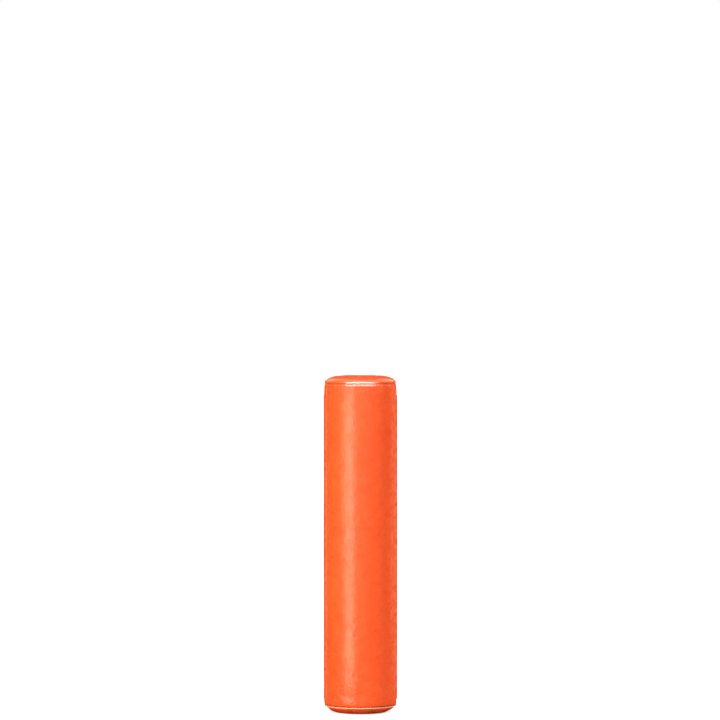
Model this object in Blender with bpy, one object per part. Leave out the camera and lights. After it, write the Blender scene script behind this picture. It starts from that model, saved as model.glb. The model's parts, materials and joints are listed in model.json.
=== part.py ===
"""Clamshell goal post pad: two foam half shells in sewn vinyl covers, which close round a post.

Metres, +Z up along the post. The front half faces -Y, the hinge strip is at -X and the closure flap at +X.
"""

import math

import bmesh
import bpy
from mathutils import Matrix, Vector

# Driving sizes of the pad
HEIGHT = 1.829
PAD_RADIUS = 0.1975
POST_RADIUS = 0.07065
POST_CLEARANCE = 0.00135

# End forms: the wall draws in to a sewn ring at each end, the top crowns and the base rounds over
TOP_CROWN = 0.038
TOP_FULLNESS = 2.2
TOP_DRAW_IN = 0.0065
TOP_CURVE = 0.060
TOP_CURVE_FULLNESS = 1.7
BASE_ROUND = 0.033
BASE_ROUND_WIDTH = 0.0535
BASE_FULLNESS = 1.4
BASE_DRAW_IN = 0.009
BASE_CURVE = 0.028
BASE_CURVE_FULLNESS = 1.3
LIP_RADIUS = 0.009

# Sheet goods and clearances
VINYL = 0.001
WELT_RADIUS = 0.0025
CLEARANCE = 0.0003
PARTING_GAP = 0.004

# Hinge strip at -X and closure flap at +X, with widths measured round the pad
STRIP_END_MARGIN = 0.012
HINGE_LEAF_WIDTH = 0.070
HINGE_LEAF_GAP = 0.0006
FLAP_FRONT_WIDTH = 0.079
FLAP_REAR_WIDTH = 0.086
FLAP_RAMP_WIDTH = 0.040
TAPE_WIDTH = 0.048
TAPE_THICKNESS = 0.0013
TAPE_EDGE_MARGIN = 0.007
TAPE_END_MARGIN = 0.010

# Zip, sunk in a channel of one parting face of each half
CHANNEL_WIDTH = 0.044
CHANNEL_DEPTH = 0.012
POCKET_CLEARANCE = 0.0015
ZIP_END_MARGIN = 0.022
ZIP_TAPE_WIDTH = 0.015
ZIP_TAPE_THICKNESS = 0.0008
COIL_WIDTH = 0.0028
COIL_THICKNESS = 0.0026
COIL_GAP = 0.0022
WEB_CLEARANCE = 0.0005
SLIDER_LENGTH = 0.016
SLIDER_PLATE = 0.0013
SLIDER_LIP = 0.0013
SLOT_CLEARANCE = 0.001
STOP_LENGTH = 0.006
BRIDGE_SPAN = 0.0085
BRIDGE_POST = 0.0016
BRIDGE_WIDTH = 0.0022
BRIDGE_THICKNESS = 0.0012
PULL_LENGTH = 0.028
PULL_WIDTH = 0.0085
PULL_THICKNESS = 0.0013
PULL_BAR = 0.0016
PULL_EYE = 0.0045
PULL_PLAY = 0.0005

# Facets round the full circle
SEGMENTS = 48
STEP = 2 * math.pi / SEGMENTS

# Sizes that follow from the ones above
BORE_RADIUS = POST_RADIUS + POST_CLEARANCE
FOAM_INSET = VINYL + CLEARANCE
FACE_Y = PARTING_GAP / 2
TOP_SEAM_RADIUS = PAD_RADIUS - TOP_DRAW_IN
TOP_SEAM_Z = HEIGHT - TOP_CROWN
BASE_SEAM_RADIUS = PAD_RADIUS - BASE_DRAW_IN
BASE_RADIUS = BASE_SEAM_RADIUS - BASE_ROUND_WIDTH
WALL_LOW_Z = BASE_ROUND + BASE_CURVE
WALL_HIGH_Z = TOP_SEAM_Z - TOP_CURVE
STRIP_LOW_Z = WALL_LOW_Z + STRIP_END_MARGIN
STRIP_HIGH_Z = WALL_HIGH_Z - STRIP_END_MARGIN
TAPE_LOW_Z = STRIP_LOW_Z + TAPE_END_MARGIN
TAPE_HIGH_Z = STRIP_HIGH_Z - TAPE_END_MARGIN
STRIP_RADIUS = PAD_RADIUS + CLEARANCE
LOOP_RADIUS = STRIP_RADIUS + TAPE_THICKNESS + CLEARANCE
FLAP_RADIUS = LOOP_RADIUS + TAPE_THICKNESS + CLEARANCE
FLAP_START = -FLAP_FRONT_WIDTH / PAD_RADIUS
FLAP_END = FLAP_REAR_WIDTH / PAD_RADIUS
TAPE_END = (FLAP_REAR_WIDTH - TAPE_EDGE_MARGIN) / PAD_RADIUS
TAPE_START = TAPE_END - TAPE_WIDTH / PAD_RADIUS
ZIP_X = (BORE_RADIUS + PAD_RADIUS) / 2
ZIP_Y = -(FACE_Y + CHANNEL_DEPTH + VINYL + CLEARANCE + ZIP_TAPE_THICKNESS / 2)
ZIP_LOW_Z = BASE_ROUND + ZIP_END_MARGIN
ZIP_HIGH_Z = TOP_SEAM_Z - ZIP_END_MARGIN
COIL_ROOM = COIL_THICKNESS / 2 + CLEARANCE
SLIDER_FRONT = COIL_ROOM + SLIDER_PLATE
SLIDER_CAVITY = COIL_GAP / 2 + COIL_WIDTH + CLEARANCE
SLIDER_HALF_WIDTH = SLIDER_CAVITY + SLIDER_LIP
SLIDER_Z = ZIP_LOW_Z + STOP_LENGTH + CLEARANCE + SLIDER_LENGTH / 2
SLOT_HALF_WIDTH = SLIDER_HALF_WIDTH + SLOT_CLEARANCE
PULL_Y = SLIDER_FRONT + PULL_PLAY + PULL_THICKNESS / 2
PULL_Z = BRIDGE_POST + CLEARANCE + PULL_BAR / 2 - BRIDGE_SPAN / 2
HINGE_X = -(STRIP_RADIUS + VINYL)

# Name, colour, roughness and metallic value of each finish
VINYL_ORANGE = ("vinyl_orange", (0.95, 0.13, 0.03), 0.42, 0.0)
LINER_ORANGE = ("vinyl_liner", (0.80, 0.12, 0.03), 0.55, 0.0)
FOAM = ("foam", (0.86, 0.83, 0.72), 0.95, 0.0)
HOOK_AND_LOOP = ("hook_and_loop", (0.70, 0.11, 0.04), 0.95, 0.0)
ZIP_TAPE = ("zip_tape", (0.06, 0.06, 0.06), 0.85, 0.0)
ZIP_METAL = ("zip_metal", (0.62, 0.62, 0.60), 0.32, 1.0)


def material(finish):
    name, colour, roughness, metallic = finish
    made = bpy.data.materials.get(name)
    if made is None:
        made = bpy.data.materials.new(name)
        made.use_nodes = True
        shader = made.node_tree.nodes["Principled BSDF"]
        shader.inputs["Base Color"].default_value = (*colour, 1.0)
        shader.inputs["Roughness"].default_value = roughness
        shader.inputs["Metallic"].default_value = metallic
    return made


def add_empty(name, location, parent=None):
    empty = bpy.data.objects.new(name, None)
    empty.empty_display_size = 0.05
    empty.location = location
    empty.parent = parent
    bpy.context.scene.collection.objects.link(empty)
    return empty


def add_object(name, bm, finish, parent, location=(0, 0, 0)):
    """An object of the mesh, at a place in its parent's own coordinates."""
    bmesh.ops.remove_doubles(bm, verts=bm.verts, dist=1e-6)
    bmesh.ops.recalc_face_normals(bm, faces=bm.faces)
    mesh = bpy.data.meshes.new(name)
    bm.to_mesh(mesh)
    bm.free()
    mesh.shade_smooth()
    mesh.set_sharp_from_angle(angle=math.radians(35))
    mesh.materials.append(material(finish))
    made = bpy.data.objects.new(name, mesh)
    made.parent = parent
    made.location = location
    bpy.context.scene.collection.objects.link(made)
    return made


def add_cutter(name, bm, parent, location=(0, 0, 0)):
    cutter = add_object(name, bm, FOAM, parent, location)
    cutter.hide_render = True
    cutter.display_type = "WIRE"
    return cutter


def combine(target, operation, other):
    modifier = target.modifiers.new(other.name, "BOOLEAN")
    modifier.operation = operation
    modifier.solver = "EXACT"
    modifier.object = other


def box(low, high):
    centre = [(a + b) / 2 for a, b in zip(low, high)]
    size = [b - a for a, b in zip(low, high)]
    bm = bmesh.new()
    bmesh.ops.create_cube(bm, size=1.0, matrix=Matrix.Translation(centre) @ Matrix.Diagonal((*size, 1.0)))
    return bm


def extruded(outline, low, high, axes=(0, 1, 2)):
    """A closed outline made solid from low to high. axes says which of its own axes gives X, Y and Z."""
    bm = bmesh.new()
    face = bm.faces.new([bm.verts.new((a, b, low)) for a, b in outline])
    raised = bmesh.ops.extrude_face_region(bm, geom=[face], use_keep_orig=True)
    far = [v for v in raised["geom"] if isinstance(v, bmesh.types.BMVert)]
    bmesh.ops.translate(bm, verts=far, vec=(0, 0, high - low))
    for vert in bm.verts:
        vert.co = Vector([vert.co[axis] for axis in axes])
    return bm


def turned(profile):
    """A closed (r, z) profile turned all the way round Z. Its points on the axis are joined by no edge."""
    bm = bmesh.new()
    corners = [bm.verts.new((r, 0.0, z)) for r, z in profile]
    pairs = zip(corners, corners[1:] + corners[:1])
    edges = [bm.edges.new(pair) for pair in pairs if pair[0].co.x + pair[1].co.x > 0]
    bmesh.ops.spin(
        bm, geom=[*corners, *edges], axis=(0, 0, 1), angle=2 * math.pi, steps=SEGMENTS, use_merge=True
    )
    bmesh.ops.remove_doubles(bm, verts=bm.verts, dist=1e-6)
    bmesh.ops.dissolve_degenerate(bm, edges=bm.edges, dist=1e-6)
    bmesh.ops.recalc_face_normals(bm, faces=bm.faces)
    return bm


def front_half(profile, setback=0.0):
    """The part of a turned profile in front of the parting face, closed at the cut."""
    bm = turned(profile)
    everything = [*bm.verts, *bm.edges, *bm.faces]
    plane = (0, -(FACE_Y + setback), 0)
    cut = bmesh.ops.bisect_plane(bm, geom=everything, dist=1e-7, plane_co=plane, plane_no=(0, 1, 0), clear_outer=True)
    edges = [edge for edge in cut["geom_cut"] if isinstance(edge, bmesh.types.BMEdge)]
    bmesh.ops.edgeloop_fill(bm, edges=edges)
    return bm


def superellipse(centre, radii, start_deg, end_deg, count, fullness=2.0):
    """Points on a quarter of a superellipse, which is an ellipse where fullness is 2."""
    points = []
    for i in range(count + 1):
        angle = math.radians(start_deg + (end_deg - start_deg) * i / count)
        c, s = math.cos(angle), math.sin(angle)
        across = math.copysign(abs(c) ** (2 / fullness), c)
        up = math.copysign(abs(s) ** (2 / fullness), s)
        points.append((centre[0] + radii[0] * across, centre[1] + radii[1] * up))
    return points


def base_run():
    """(r, z) from the bore's lower lip, out along the base and round to the lower seam."""
    lip = (LIP_RADIUS, LIP_RADIUS)
    edge = (BASE_ROUND_WIDTH, BASE_ROUND)
    return [
        *superellipse((BORE_RADIUS + LIP_RADIUS, LIP_RADIUS), lip, 180, 270, 3),
        *superellipse((BASE_RADIUS, BASE_ROUND), edge, 270, 360, 6, BASE_FULLNESS),
    ]


def wall_run():
    """(r, z) up the wall from the lower seam to the upper one."""
    low = (BASE_DRAW_IN, BASE_CURVE)
    high = (TOP_DRAW_IN, TOP_CURVE)
    return [
        *superellipse((BASE_SEAM_RADIUS, WALL_LOW_Z), low, 270, 360, 4, BASE_CURVE_FULLNESS),
        *superellipse((TOP_SEAM_RADIUS, WALL_HIGH_Z), high, 0, 90, 5, TOP_CURVE_FULLNESS),
    ]


def crown_run():
    """(r, z) from the upper seam over the crown and into the bore's upper lip."""
    inner = BORE_RADIUS + LIP_RADIUS
    crown = (TOP_SEAM_RADIUS - inner, TOP_CROWN)
    lip = (LIP_RADIUS, LIP_RADIUS)
    return [
        *superellipse((inner, TOP_SEAM_Z), crown, 0, 90, 7, TOP_FULLNESS),
        *superellipse((inner, HEIGHT - LIP_RADIUS), lip, 90, 180, 3)[1:],
    ]


def full_run():
    return base_run()[:-1] + wall_run() + crown_run()[1:]


def mitres(run):
    """For each point of an open run, the step to its right that moves both its sides by one unit."""
    steps = []
    for i, point in enumerate(run):
        ends = (run[max(i - 1, 0)], point), (point, run[min(i + 1, len(run) - 1)])
        sides = [(Vector(b) - Vector(a)).normalized() for a, b in ends if a != b]
        along = sum(sides, Vector((0.0, 0.0))).normalized()
        steps.append(Vector((along.y, -along.x)) / along.dot(sides[0]))
    return steps


def offset(run, distance):
    """The run moved to its right, which on full_run is outwards, or to its left where distance is negative."""
    return [tuple(Vector(point) + step * distance) for point, step in zip(run, mitres(run))]


def sheet(run, thickness):
    """The closed outline of sheet on the run's right, or on its left where thickness is negative."""
    return [*run, *reversed(offset(run, thickness))]


def shortened(run, length):
    """The run without this length at its start."""
    points = [Vector(point) for point in run]
    while (points[1] - points[0]).length <= length:
        length -= (points[1] - points[0]).length
        points.pop(0)
    points[0] = points[0] + (points[1] - points[0]).normalized() * length
    return [tuple(point) for point in points]


def shortened_at_end(run, length):
    return shortened(run[::-1], length)[::-1]


def facet_point(radius, angle):
    """The point at an angle on the faceted circle whose corners lie at this radius."""
    middle = (math.floor(angle / STEP + 1e-9) + 0.5) * STEP
    reach = radius * math.cos(STEP / 2) / math.cos(angle - middle)
    return (reach * math.cos(angle), reach * math.sin(angle))


def corner_angles(start, end):
    """The start and end angles, with the faceted circle's corners between them."""
    first = math.floor(start / STEP + 1e-6) + 1
    last = math.ceil(end / STEP - 1e-6) - 1
    return [start, *(corner * STEP for corner in range(first, last + 1)), end]


def circle_run(radius, start, end):
    return [facet_point(radius, angle) for angle in corner_angles(start, end)]


def envelope():
    """Everything inside the covers, closed across the bore: it trims what stands between the caps."""
    run = offset(full_run(), -FOAM_INSET)
    low = run[0][1] + CLEARANCE
    high = run[-1][1] - CLEARANCE
    return turned([(0.0, low), (run[0][0], low), *run[1:-1], (run[-1][0], high), (0.0, high)])


def welt(seam_index):
    """A cord that lies along a seam, sunk into the gap between the two sheets."""
    run = full_run()
    out = mitres(run)[seam_index].normalized()
    centre = Vector(run[seam_index]) + out * (WELT_RADIUS - VINYL)
    sides = 8
    turns = [2 * math.pi * side / sides for side in range(sides)]
    return front_half([tuple(centre + Vector((math.cos(a), math.sin(a))) * WELT_RADIUS) for a in turns])


def liner_run():
    """(x, y) of the inner panel's visible face: the plain parting face, the bore, and on to the zip."""
    side = math.asin(FACE_Y / BORE_RADIUS)
    channel = ZIP_X - CHANNEL_WIDTH / 2
    floor = -(FACE_Y + CHANNEL_DEPTH)
    return [
        (-2 * PAD_RADIUS, -FACE_Y),
        *circle_run(BORE_RADIUS, math.pi + side, 2 * math.pi - side),
        (channel, -FACE_Y),
        (channel, floor),
        (ZIP_X - SLOT_HALF_WIDTH, floor),
    ]


def facing_run():
    """(x, y) of the strip between the zip and the outer cover."""
    channel = ZIP_X + CHANNEL_WIDTH / 2
    floor = -(FACE_Y + CHANNEL_DEPTH)
    return [
        (ZIP_X + SLOT_HALF_WIDTH, floor),
        (channel, floor),
        (channel, -FACE_Y),
        (2 * PAD_RADIUS, -FACE_Y),
    ]


def zip_tape_outline(side):
    """(x, y) of one zip tape with its row of coil, where side is 1 away from the bore and -1 towards it."""
    near, far, edge = COIL_GAP / 2, COIL_GAP / 2 + COIL_WIDTH, COIL_GAP / 2 + ZIP_TAPE_WIDTH
    coil, tape = COIL_THICKNESS / 2, ZIP_TAPE_THICKNESS / 2
    half = [(near, coil), (far, coil), (far, tape), (edge, tape)]
    outline = half + [(x, -y) for x, y in reversed(half)]
    return [(ZIP_X + side * x, ZIP_Y + y) for x, y in outline]


def slider_outline():
    """(x, y) across the slider: two lipped plates and the web that joins them between the coils."""
    web = COIL_GAP / 2 - WEB_CLEARANCE
    slit = ZIP_TAPE_THICKNESS / 2 + CLEARANCE
    quarter = [
        (SLIDER_HALF_WIDTH, SLIDER_FRONT),
        (SLIDER_HALF_WIDTH, slit),
        (SLIDER_CAVITY, slit),
        (SLIDER_CAVITY, COIL_ROOM),
        (web, COIL_ROOM),
    ]
    right = quarter + [(x, -y) for x, y in reversed(quarter)]
    return right + [(-x, y) for x, y in reversed(right)]


def bridge_outline():
    """(y, z) of the slider's bridge, with its feet sunk into the front plate."""
    foot = SLIDER_FRONT - SLIDER_PLATE / 2
    under = SLIDER_FRONT + 2 * PULL_PLAY + PULL_THICKNESS
    top = under + BRIDGE_THICKNESS
    outer = BRIDGE_SPAN / 2
    inner = outer - BRIDGE_POST
    upper = [(foot, inner), (under, inner)]
    return [(foot, outer), *upper, *[(y, -z) for y, z in reversed(upper)], (foot, -outer), (top, -outer), (top, outer)]


def pull_outline():
    """(x, z) of the pull tab, with its bar's axis at the origin and its free end round."""
    half = PULL_WIDTH / 2
    top = PULL_BAR / 2
    round_z = top - PULL_LENGTH + half
    return [(half, top), (-half, top), *superellipse((0.0, round_z), (half, half), 180, 360, 8)]


def build_zip(half, name):
    """The zip of one half: two tapes, two stops, the slider and its pull."""
    trim = bpy.data.objects["envelope"]
    for side, place in ((-1, "inner"), (1, "outer")):
        bm = extruded(zip_tape_outline(side), -HEIGHT, 2 * HEIGHT)
        combine(add_object(f"{name}_zip_tape_{place}", bm, ZIP_TAPE, half), "INTERSECT", trim)

    reach = COIL_GAP / 2 + COIL_WIDTH
    for place, low in (("bottom", ZIP_LOW_Z), ("top", ZIP_HIGH_Z - STOP_LENGTH)):
        bm = box((-reach, COIL_ROOM, low), (reach, SLIDER_FRONT, low + STOP_LENGTH))
        add_object(f"{name}_zip_{place}_stop", bm, ZIP_METAL, half, (ZIP_X, ZIP_Y, 0))

    bm = extruded(slider_outline(), -SLIDER_LENGTH / 2, SLIDER_LENGTH / 2)
    slider = add_object(f"{name}_zip_slider", bm, ZIP_METAL, half, (ZIP_X, ZIP_Y, SLIDER_Z))
    bm = extruded(bridge_outline(), -BRIDGE_WIDTH / 2, BRIDGE_WIDTH / 2, axes=(2, 0, 1))
    combine(slider, "UNION", add_cutter(f"{name}_zip_bridge", bm, slider))

    bm = extruded(pull_outline(), -PULL_THICKNESS / 2, PULL_THICKNESS / 2, axes=(0, 2, 1))
    pull = add_object(f"{name}_zip_pull", bm, ZIP_METAL, slider, (0, PULL_Y, PULL_Z))
    eye = BRIDGE_WIDTH / 2 + PULL_PLAY
    bm = box((-eye, -PULL_THICKNESS, -PULL_BAR / 2 - PULL_EYE), (eye, PULL_THICKNESS, -PULL_BAR / 2))
    combine(pull, "DIFFERENCE", add_cutter(f"{name}_pull_eye", bm, pull))


def build_half(half, name):
    """One half shell, modelled as the front one: half is the empty that places it."""
    trim = bpy.data.objects["envelope"]
    seam_gap = WELT_RADIUS + CLEARANCE
    low_seam = len(base_run()) - 1
    high_seam = low_seam + len(wall_run()) - 1

    foam = add_object(f"{name}_foam_core", front_half(offset(full_run(), -FOAM_INSET), FOAM_INSET), FOAM, half)
    reach = CHANNEL_WIDTH / 2 + FOAM_INSET
    pocket = ZIP_Y - SLIDER_FRONT - POCKET_CLEARANCE
    bm = box((ZIP_X - reach, pocket, -HEIGHT), (ZIP_X + reach, 0, 2 * HEIGHT))
    combine(foam, "DIFFERENCE", add_cutter(f"{name}_foam_channel", bm, half))

    wall = shortened_at_end(shortened(wall_run(), seam_gap), seam_gap)
    base = shortened_at_end(base_run(), seam_gap)
    crown = shortened(crown_run(), seam_gap)
    for piece, run in (("outer_cover", wall), ("bottom_cap", base), ("top_cap", crown)):
        add_object(f"{name}_{piece}", front_half(sheet(run, -VINYL)), VINYL_ORANGE, half)

    for piece, seam in (("bottom_welt", low_seam), ("top_welt", high_seam)):
        add_object(f"{name}_{piece}", welt(seam), VINYL_ORANGE, half)

    for piece, run in (("inner_panel", liner_run()), ("zip_facing", facing_run())):
        bm = extruded(sheet(run, VINYL), -HEIGHT, 2 * HEIGHT)
        combine(add_object(f"{name}_{piece}", bm, LINER_ORANGE, half), "INTERSECT", trim)

    build_zip(half, name)


def add_strip(name, run, thickness, low, high, finish, parent):
    """An upright strip of sheet on the outside of the run, kept at its place in the pad."""
    away = -parent.matrix_world.translation
    return add_object(name, extruded(sheet(run, thickness), low, high), finish, parent, away)


def flap_run():
    """(x, y) of the closure flap's inner face, which rises from the cover to clear the tapes."""
    ramp_end = math.floor(TAPE_START / STEP) * STEP
    ramp_start = ramp_end - FLAP_RAMP_WIDTH / PAD_RADIUS
    run = []
    for angle in corner_angles(FLAP_START, FLAP_END):
        share = min(max((angle - ramp_start) / (ramp_end - ramp_start), 0.0), 1.0)
        run.append(facet_point(STRIP_RADIUS + share * (FLAP_RADIUS - STRIP_RADIUS), angle))
    return run


def build_closures(front, rear):
    """The hinge strip's two leaves at -X, and the closure flap with its tapes at +X."""
    parting = math.asin(HINGE_LEAF_GAP / 2 / STRIP_RADIUS)
    reach = HINGE_LEAF_WIDTH / PAD_RADIUS
    leaves = (
        ("front_hinge_leaf", math.pi + parting, math.pi + reach, front),
        ("rear_hinge_leaf", math.pi - reach, math.pi - parting, rear),
    )
    for name, start, end, parent in leaves:
        run = circle_run(STRIP_RADIUS, start, end)
        add_strip(name, run, VINYL, STRIP_LOW_Z, STRIP_HIGH_Z, VINYL_ORANGE, parent)

    run = flap_run()
    sewn_edge = offset(run, VINYL)[0]
    flap = add_empty("closure_flap_pivot", (*sewn_edge, 0), front)
    bpy.context.view_layer.update()
    add_strip("closure_flap", run, VINYL, STRIP_LOW_Z, STRIP_HIGH_Z, VINYL_ORANGE, flap)

    tapes = (("flap_loop_tape", LOOP_RADIUS, flap), ("rear_hook_tape", STRIP_RADIUS, rear))
    for name, radius, parent in tapes:
        run = circle_run(radius, TAPE_START, TAPE_END)
        add_strip(name, run, TAPE_THICKNESS, TAPE_LOW_Z, TAPE_HIGH_Z, HOOK_AND_LOOP, parent)


def main():
    for stale in list(bpy.data.objects):
        bpy.data.objects.remove(stale, do_unlink=True)

    add_cutter("envelope", envelope(), None)
    rear = add_empty("rear_shell", (0, 0, 0))
    front_pivot = add_empty("front_shell_pivot", (HINGE_X, 0, 0))
    front = add_empty("front_shell", (-HINGE_X, 0, 0), front_pivot)
    rear_turned = add_empty("rear_shell_turned", (0, 0, 0), rear)
    rear_turned.rotation_euler.z = math.pi
    bpy.context.view_layer.update()

    build_half(front, "front")
    build_half(rear_turned, "rear")
    build_closures(front, rear)


main()
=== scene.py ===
import json
import math
from contextlib import contextmanager

import bpy
import numpy as np
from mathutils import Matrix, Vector


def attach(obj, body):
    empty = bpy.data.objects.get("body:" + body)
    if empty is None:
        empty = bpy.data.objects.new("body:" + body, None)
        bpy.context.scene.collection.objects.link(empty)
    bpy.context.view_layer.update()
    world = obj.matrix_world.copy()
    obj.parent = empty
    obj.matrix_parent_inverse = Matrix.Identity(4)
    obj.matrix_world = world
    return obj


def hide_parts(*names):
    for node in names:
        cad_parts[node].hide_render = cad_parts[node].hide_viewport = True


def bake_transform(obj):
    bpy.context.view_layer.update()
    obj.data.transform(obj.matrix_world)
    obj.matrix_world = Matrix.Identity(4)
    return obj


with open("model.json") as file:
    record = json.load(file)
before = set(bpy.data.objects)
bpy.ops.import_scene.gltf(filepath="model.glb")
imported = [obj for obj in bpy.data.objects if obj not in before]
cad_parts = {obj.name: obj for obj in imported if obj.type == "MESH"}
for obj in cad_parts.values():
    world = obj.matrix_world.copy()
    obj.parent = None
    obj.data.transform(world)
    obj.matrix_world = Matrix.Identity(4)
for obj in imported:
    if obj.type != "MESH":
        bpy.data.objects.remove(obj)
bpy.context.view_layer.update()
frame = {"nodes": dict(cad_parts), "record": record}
print("frame loaded:", len(frame["nodes"]), "nodes")

# the pad's main measures, in metres: the bore runs along Z, and the front half faces -Y
pad = {
    "height": 1.829,
    "radius": 0.1975,
    "bore": 0.072,
    "lip": 0.009,  # rounding where the caps turn into the bore
    "tuck": 0.014,  # how far the caps reach into the bore
    "faceY": 0.001,  # each half's parting face stands this far from the middle plane
    "stagger": 0.0022,  # the faces are stepped by this much, so that no light passes between them
    "corner": 0.005,  # soft corner between the outside and the parting face
    "lap": 0.008,  # width of cover turned over onto the parting face
    "vinyl": 0.001,
}
crownShape = {"rise": 0.038, "fullness": 2.2, "seamRadius": 0.191, "seamZ": 1.791}
wallShape = {
    "topDraw": 0.0065, "topCurve": 0.060, "topFullness": 1.7,
    "baseDraw": 0.010, "baseCurve": 0.030, "baseFullness": 2.1,
}
baseShape = {"round": 0.033, "width": 0.0535, "fullness": 1.4, "seamRadius": 0.1875}


def smoothStep(share):
    share = np.clip(share, 0.0, 1.0)
    return share * share * (3 - 2 * share)


def fade(value, start, width):
    # 0 up to start, then smoothly up to 1 over the width
    return smoothStep((value - start) / width)


def near(distance, width):
    return np.exp(-((distance / width) ** 2))


def unit(vectors):
    return vectors / np.linalg.norm(vectors, axis=-1, keepdims=True)


def stacked(*fields):
    return np.stack(np.broadcast_arrays(*fields), axis=-1)


def around(radius, angle, z):
    return stacked(radius * np.cos(angle), radius * np.sin(angle), z)


def pointsAt(spots, lengths, line):
    return np.column_stack([np.interp(spots, lengths, column) for column in line.T])


def softNoise(across, along, pitchAcross, pitchAlong, seed):
    # smooth random swells between about -1 and 1, with one knot per pitch
    table = np.random.default_rng(seed).uniform(-1, 1, (97, 89))
    gridA, gridB = across / pitchAcross, along / pitchAlong
    cellA, cellB = np.floor(gridA), np.floor(gridB)

    def weights(part):
        return (
            (1 - part) ** 3 / 6,
            (3 * part**3 - 6 * part**2 + 4) / 6,
            (-3 * part**3 + 3 * part**2 + 3 * part + 1) / 6,
            part**3 / 6,
        )

    total = 0.0
    for i, weightA in enumerate(weights(gridA - cellA)):
        for j, weightB in enumerate(weights(gridB - cellB)):
            total = total + weightA * weightB * table[(cellA + i).astype(int) % 97, (cellB + j).astype(int) % 89]
    return total * 1.9


def ripple(across, along, amount, lean, drift, pitchAcross, pitchAlong, seed):
    # soft noise whose swells may lean over the surface
    return amount * softNoise(across + lean * along, along + drift * across, pitchAcross, pitchAlong, seed)


def unevenness(length, amount, pitch, seed):
    return amount * softNoise(length, length * 0, pitch, 1.0, seed)


def fuller(wave, fullness):
    return np.sign(wave) * np.abs(wave) ** (2 / fullness)


def superCurve(centre, radii, startDeg, endDeg, fullness=2.0, count=40):
    angles = np.radians(np.linspace(startDeg, endDeg, count))
    across, up = fuller(np.cos(angles), fullness), fuller(np.sin(angles), fullness)
    return np.column_stack([centre[0] + radii[0] * across, centre[1] + radii[1] * up])


def padProfile():
    # (r, z) of the whole outside: out of the bore's foot, up the wall, over the crown and into the bore again
    lip, inner, seamZ = pad["lip"], pad["bore"] + pad["lip"], crownShape["seamZ"]
    bore, baseSeam = pad["bore"] + 0.0004, baseShape["seamRadius"]
    under = (baseShape["width"], baseShape["round"])
    baseDraw = (wallShape["baseDraw"], wallShape["baseCurve"])
    topDraw = (wallShape["topDraw"], wallShape["topCurve"])
    crown = (crownShape["seamRadius"] - inner, crownShape["rise"])
    return (
        np.vstack([
            [[bore, lip + pad["tuck"]]],
            superCurve((inner, lip), (lip, lip), 180, 270),
            superCurve((baseSeam - under[0], under[1]), under, 270, 360, baseShape["fullness"]),
        ]),
        np.vstack([
            superCurve((baseSeam, under[1] + baseDraw[1]), baseDraw, 270, 360, wallShape["baseFullness"]),
            superCurve((crownShape["seamRadius"], seamZ - topDraw[1]), topDraw, 0, 90, wallShape["topFullness"]),
        ]),
        np.vstack([
            superCurve((inner, seamZ), crown, 0, 90, crownShape["fullness"]),
            superCurve((inner, pad["height"] - lip), (lip, lip), 90, 180),
            [[bore, pad["height"] - lip - pad["tuck"]]],
        ]),
    )


def lengthAlong(points):
    return np.concatenate([[0.0], np.cumsum(np.linalg.norm(np.diff(points, axis=0), axis=1))])


baseRun, wallRun, crownRun = padProfile()
wholeRun = np.vstack([baseRun, wallRun, crownRun])
wholeRun = wholeRun[np.concatenate([[True], np.linalg.norm(np.diff(wholeRun, axis=0), axis=1) > 1e-6])]
wholeLength = lengthAlong(wholeRun)
seamLow = lengthAlong(baseRun)[-1]
seamHigh = seamLow + lengthAlong(wallRun)[-1]
runEnd = wholeLength[-1]

# outward normals, averaged over a few millimetres so that two panels meet on one mitre line
fineS = np.arange(0.0, runEnd, 0.0005)
fineStep = np.gradient(pointsAt(fineS, wholeLength, wholeRun), axis=0)
window = np.hanning(21) / np.hanning(21).sum()
fineStep = np.column_stack([np.convolve(np.pad(run, 10, mode="edge"), window, mode="valid") for run in fineStep.T])
fineNormal = unit(np.column_stack([fineStep[:, 1], -fineStep[:, 0]]))


def profileAt(s):
    # r, z and the outward normal at lengths s along the outside
    r, z = pointsAt(s, wholeLength, wholeRun).T
    return r, z, unit(pointsAt(s, fineS, fineNormal))


def halfShell(
    s, arcCount, inset=0.0, lap=pad["lap"], corner=pad["corner"], faceY=pad["faceY"], filletCount=5, lapCount=4,
):
    # points and normals of the front half's skin: turned-over lap, soft corner, round the outside, corner and lap
    r, z, normal = profileAt(s)
    inset = np.broadcast_to(inset, r.shape)
    r, z = r - inset * normal[:, 0], z - inset * normal[:, 1]
    steps = (pad["stagger"], -pad["stagger"])
    leftDip, rightDip = (np.arcsin((faceY + step + corner) / (r - corner * normal[:, 0])) for step in steps)
    azimuth = np.linspace(math.pi + leftDip, 2 * math.pi - rightDip, arcCount, axis=1)
    skin = around(r[:, None], azimuth, z[:, None])
    out = around(normal[:, :1], azimuth, normal[:, 1:])

    def edge(point, outward):
        # from the skin's last column round the corner and along the parting face
        centre = point - corner * outward
        side = np.array([0.0, 1.0, 0.0])
        spread = np.arccos(outward @ side)[:, None]
        places, normals = [], []
        for share in np.linspace(0, 1, filletCount + 1)[1:]:
            turn = (np.sin((1 - share) * spread) * outward + np.sin(share * spread) * side) / np.sin(spread)
            places.append(centre + corner * turn)
            normals.append(turn)
        inward = unit(-outward * np.array([1.0, 0.0, 1.0]))
        last = places[-1]
        for share in np.linspace(0, 1, lapCount + 1)[1:]:
            places.append(last + inward * lap * share)
            normals.append(np.broadcast_to(side, last.shape))
        return np.stack(places, 1), np.stack(normals, 1)

    left, right = edge(skin[:, 0], out[:, 0]), edge(skin[:, -1], out[:, -1])
    return tuple(np.concatenate([left[k][:, ::-1], field, right[k]], axis=1) for k, field in enumerate((skin, out)))


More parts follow.
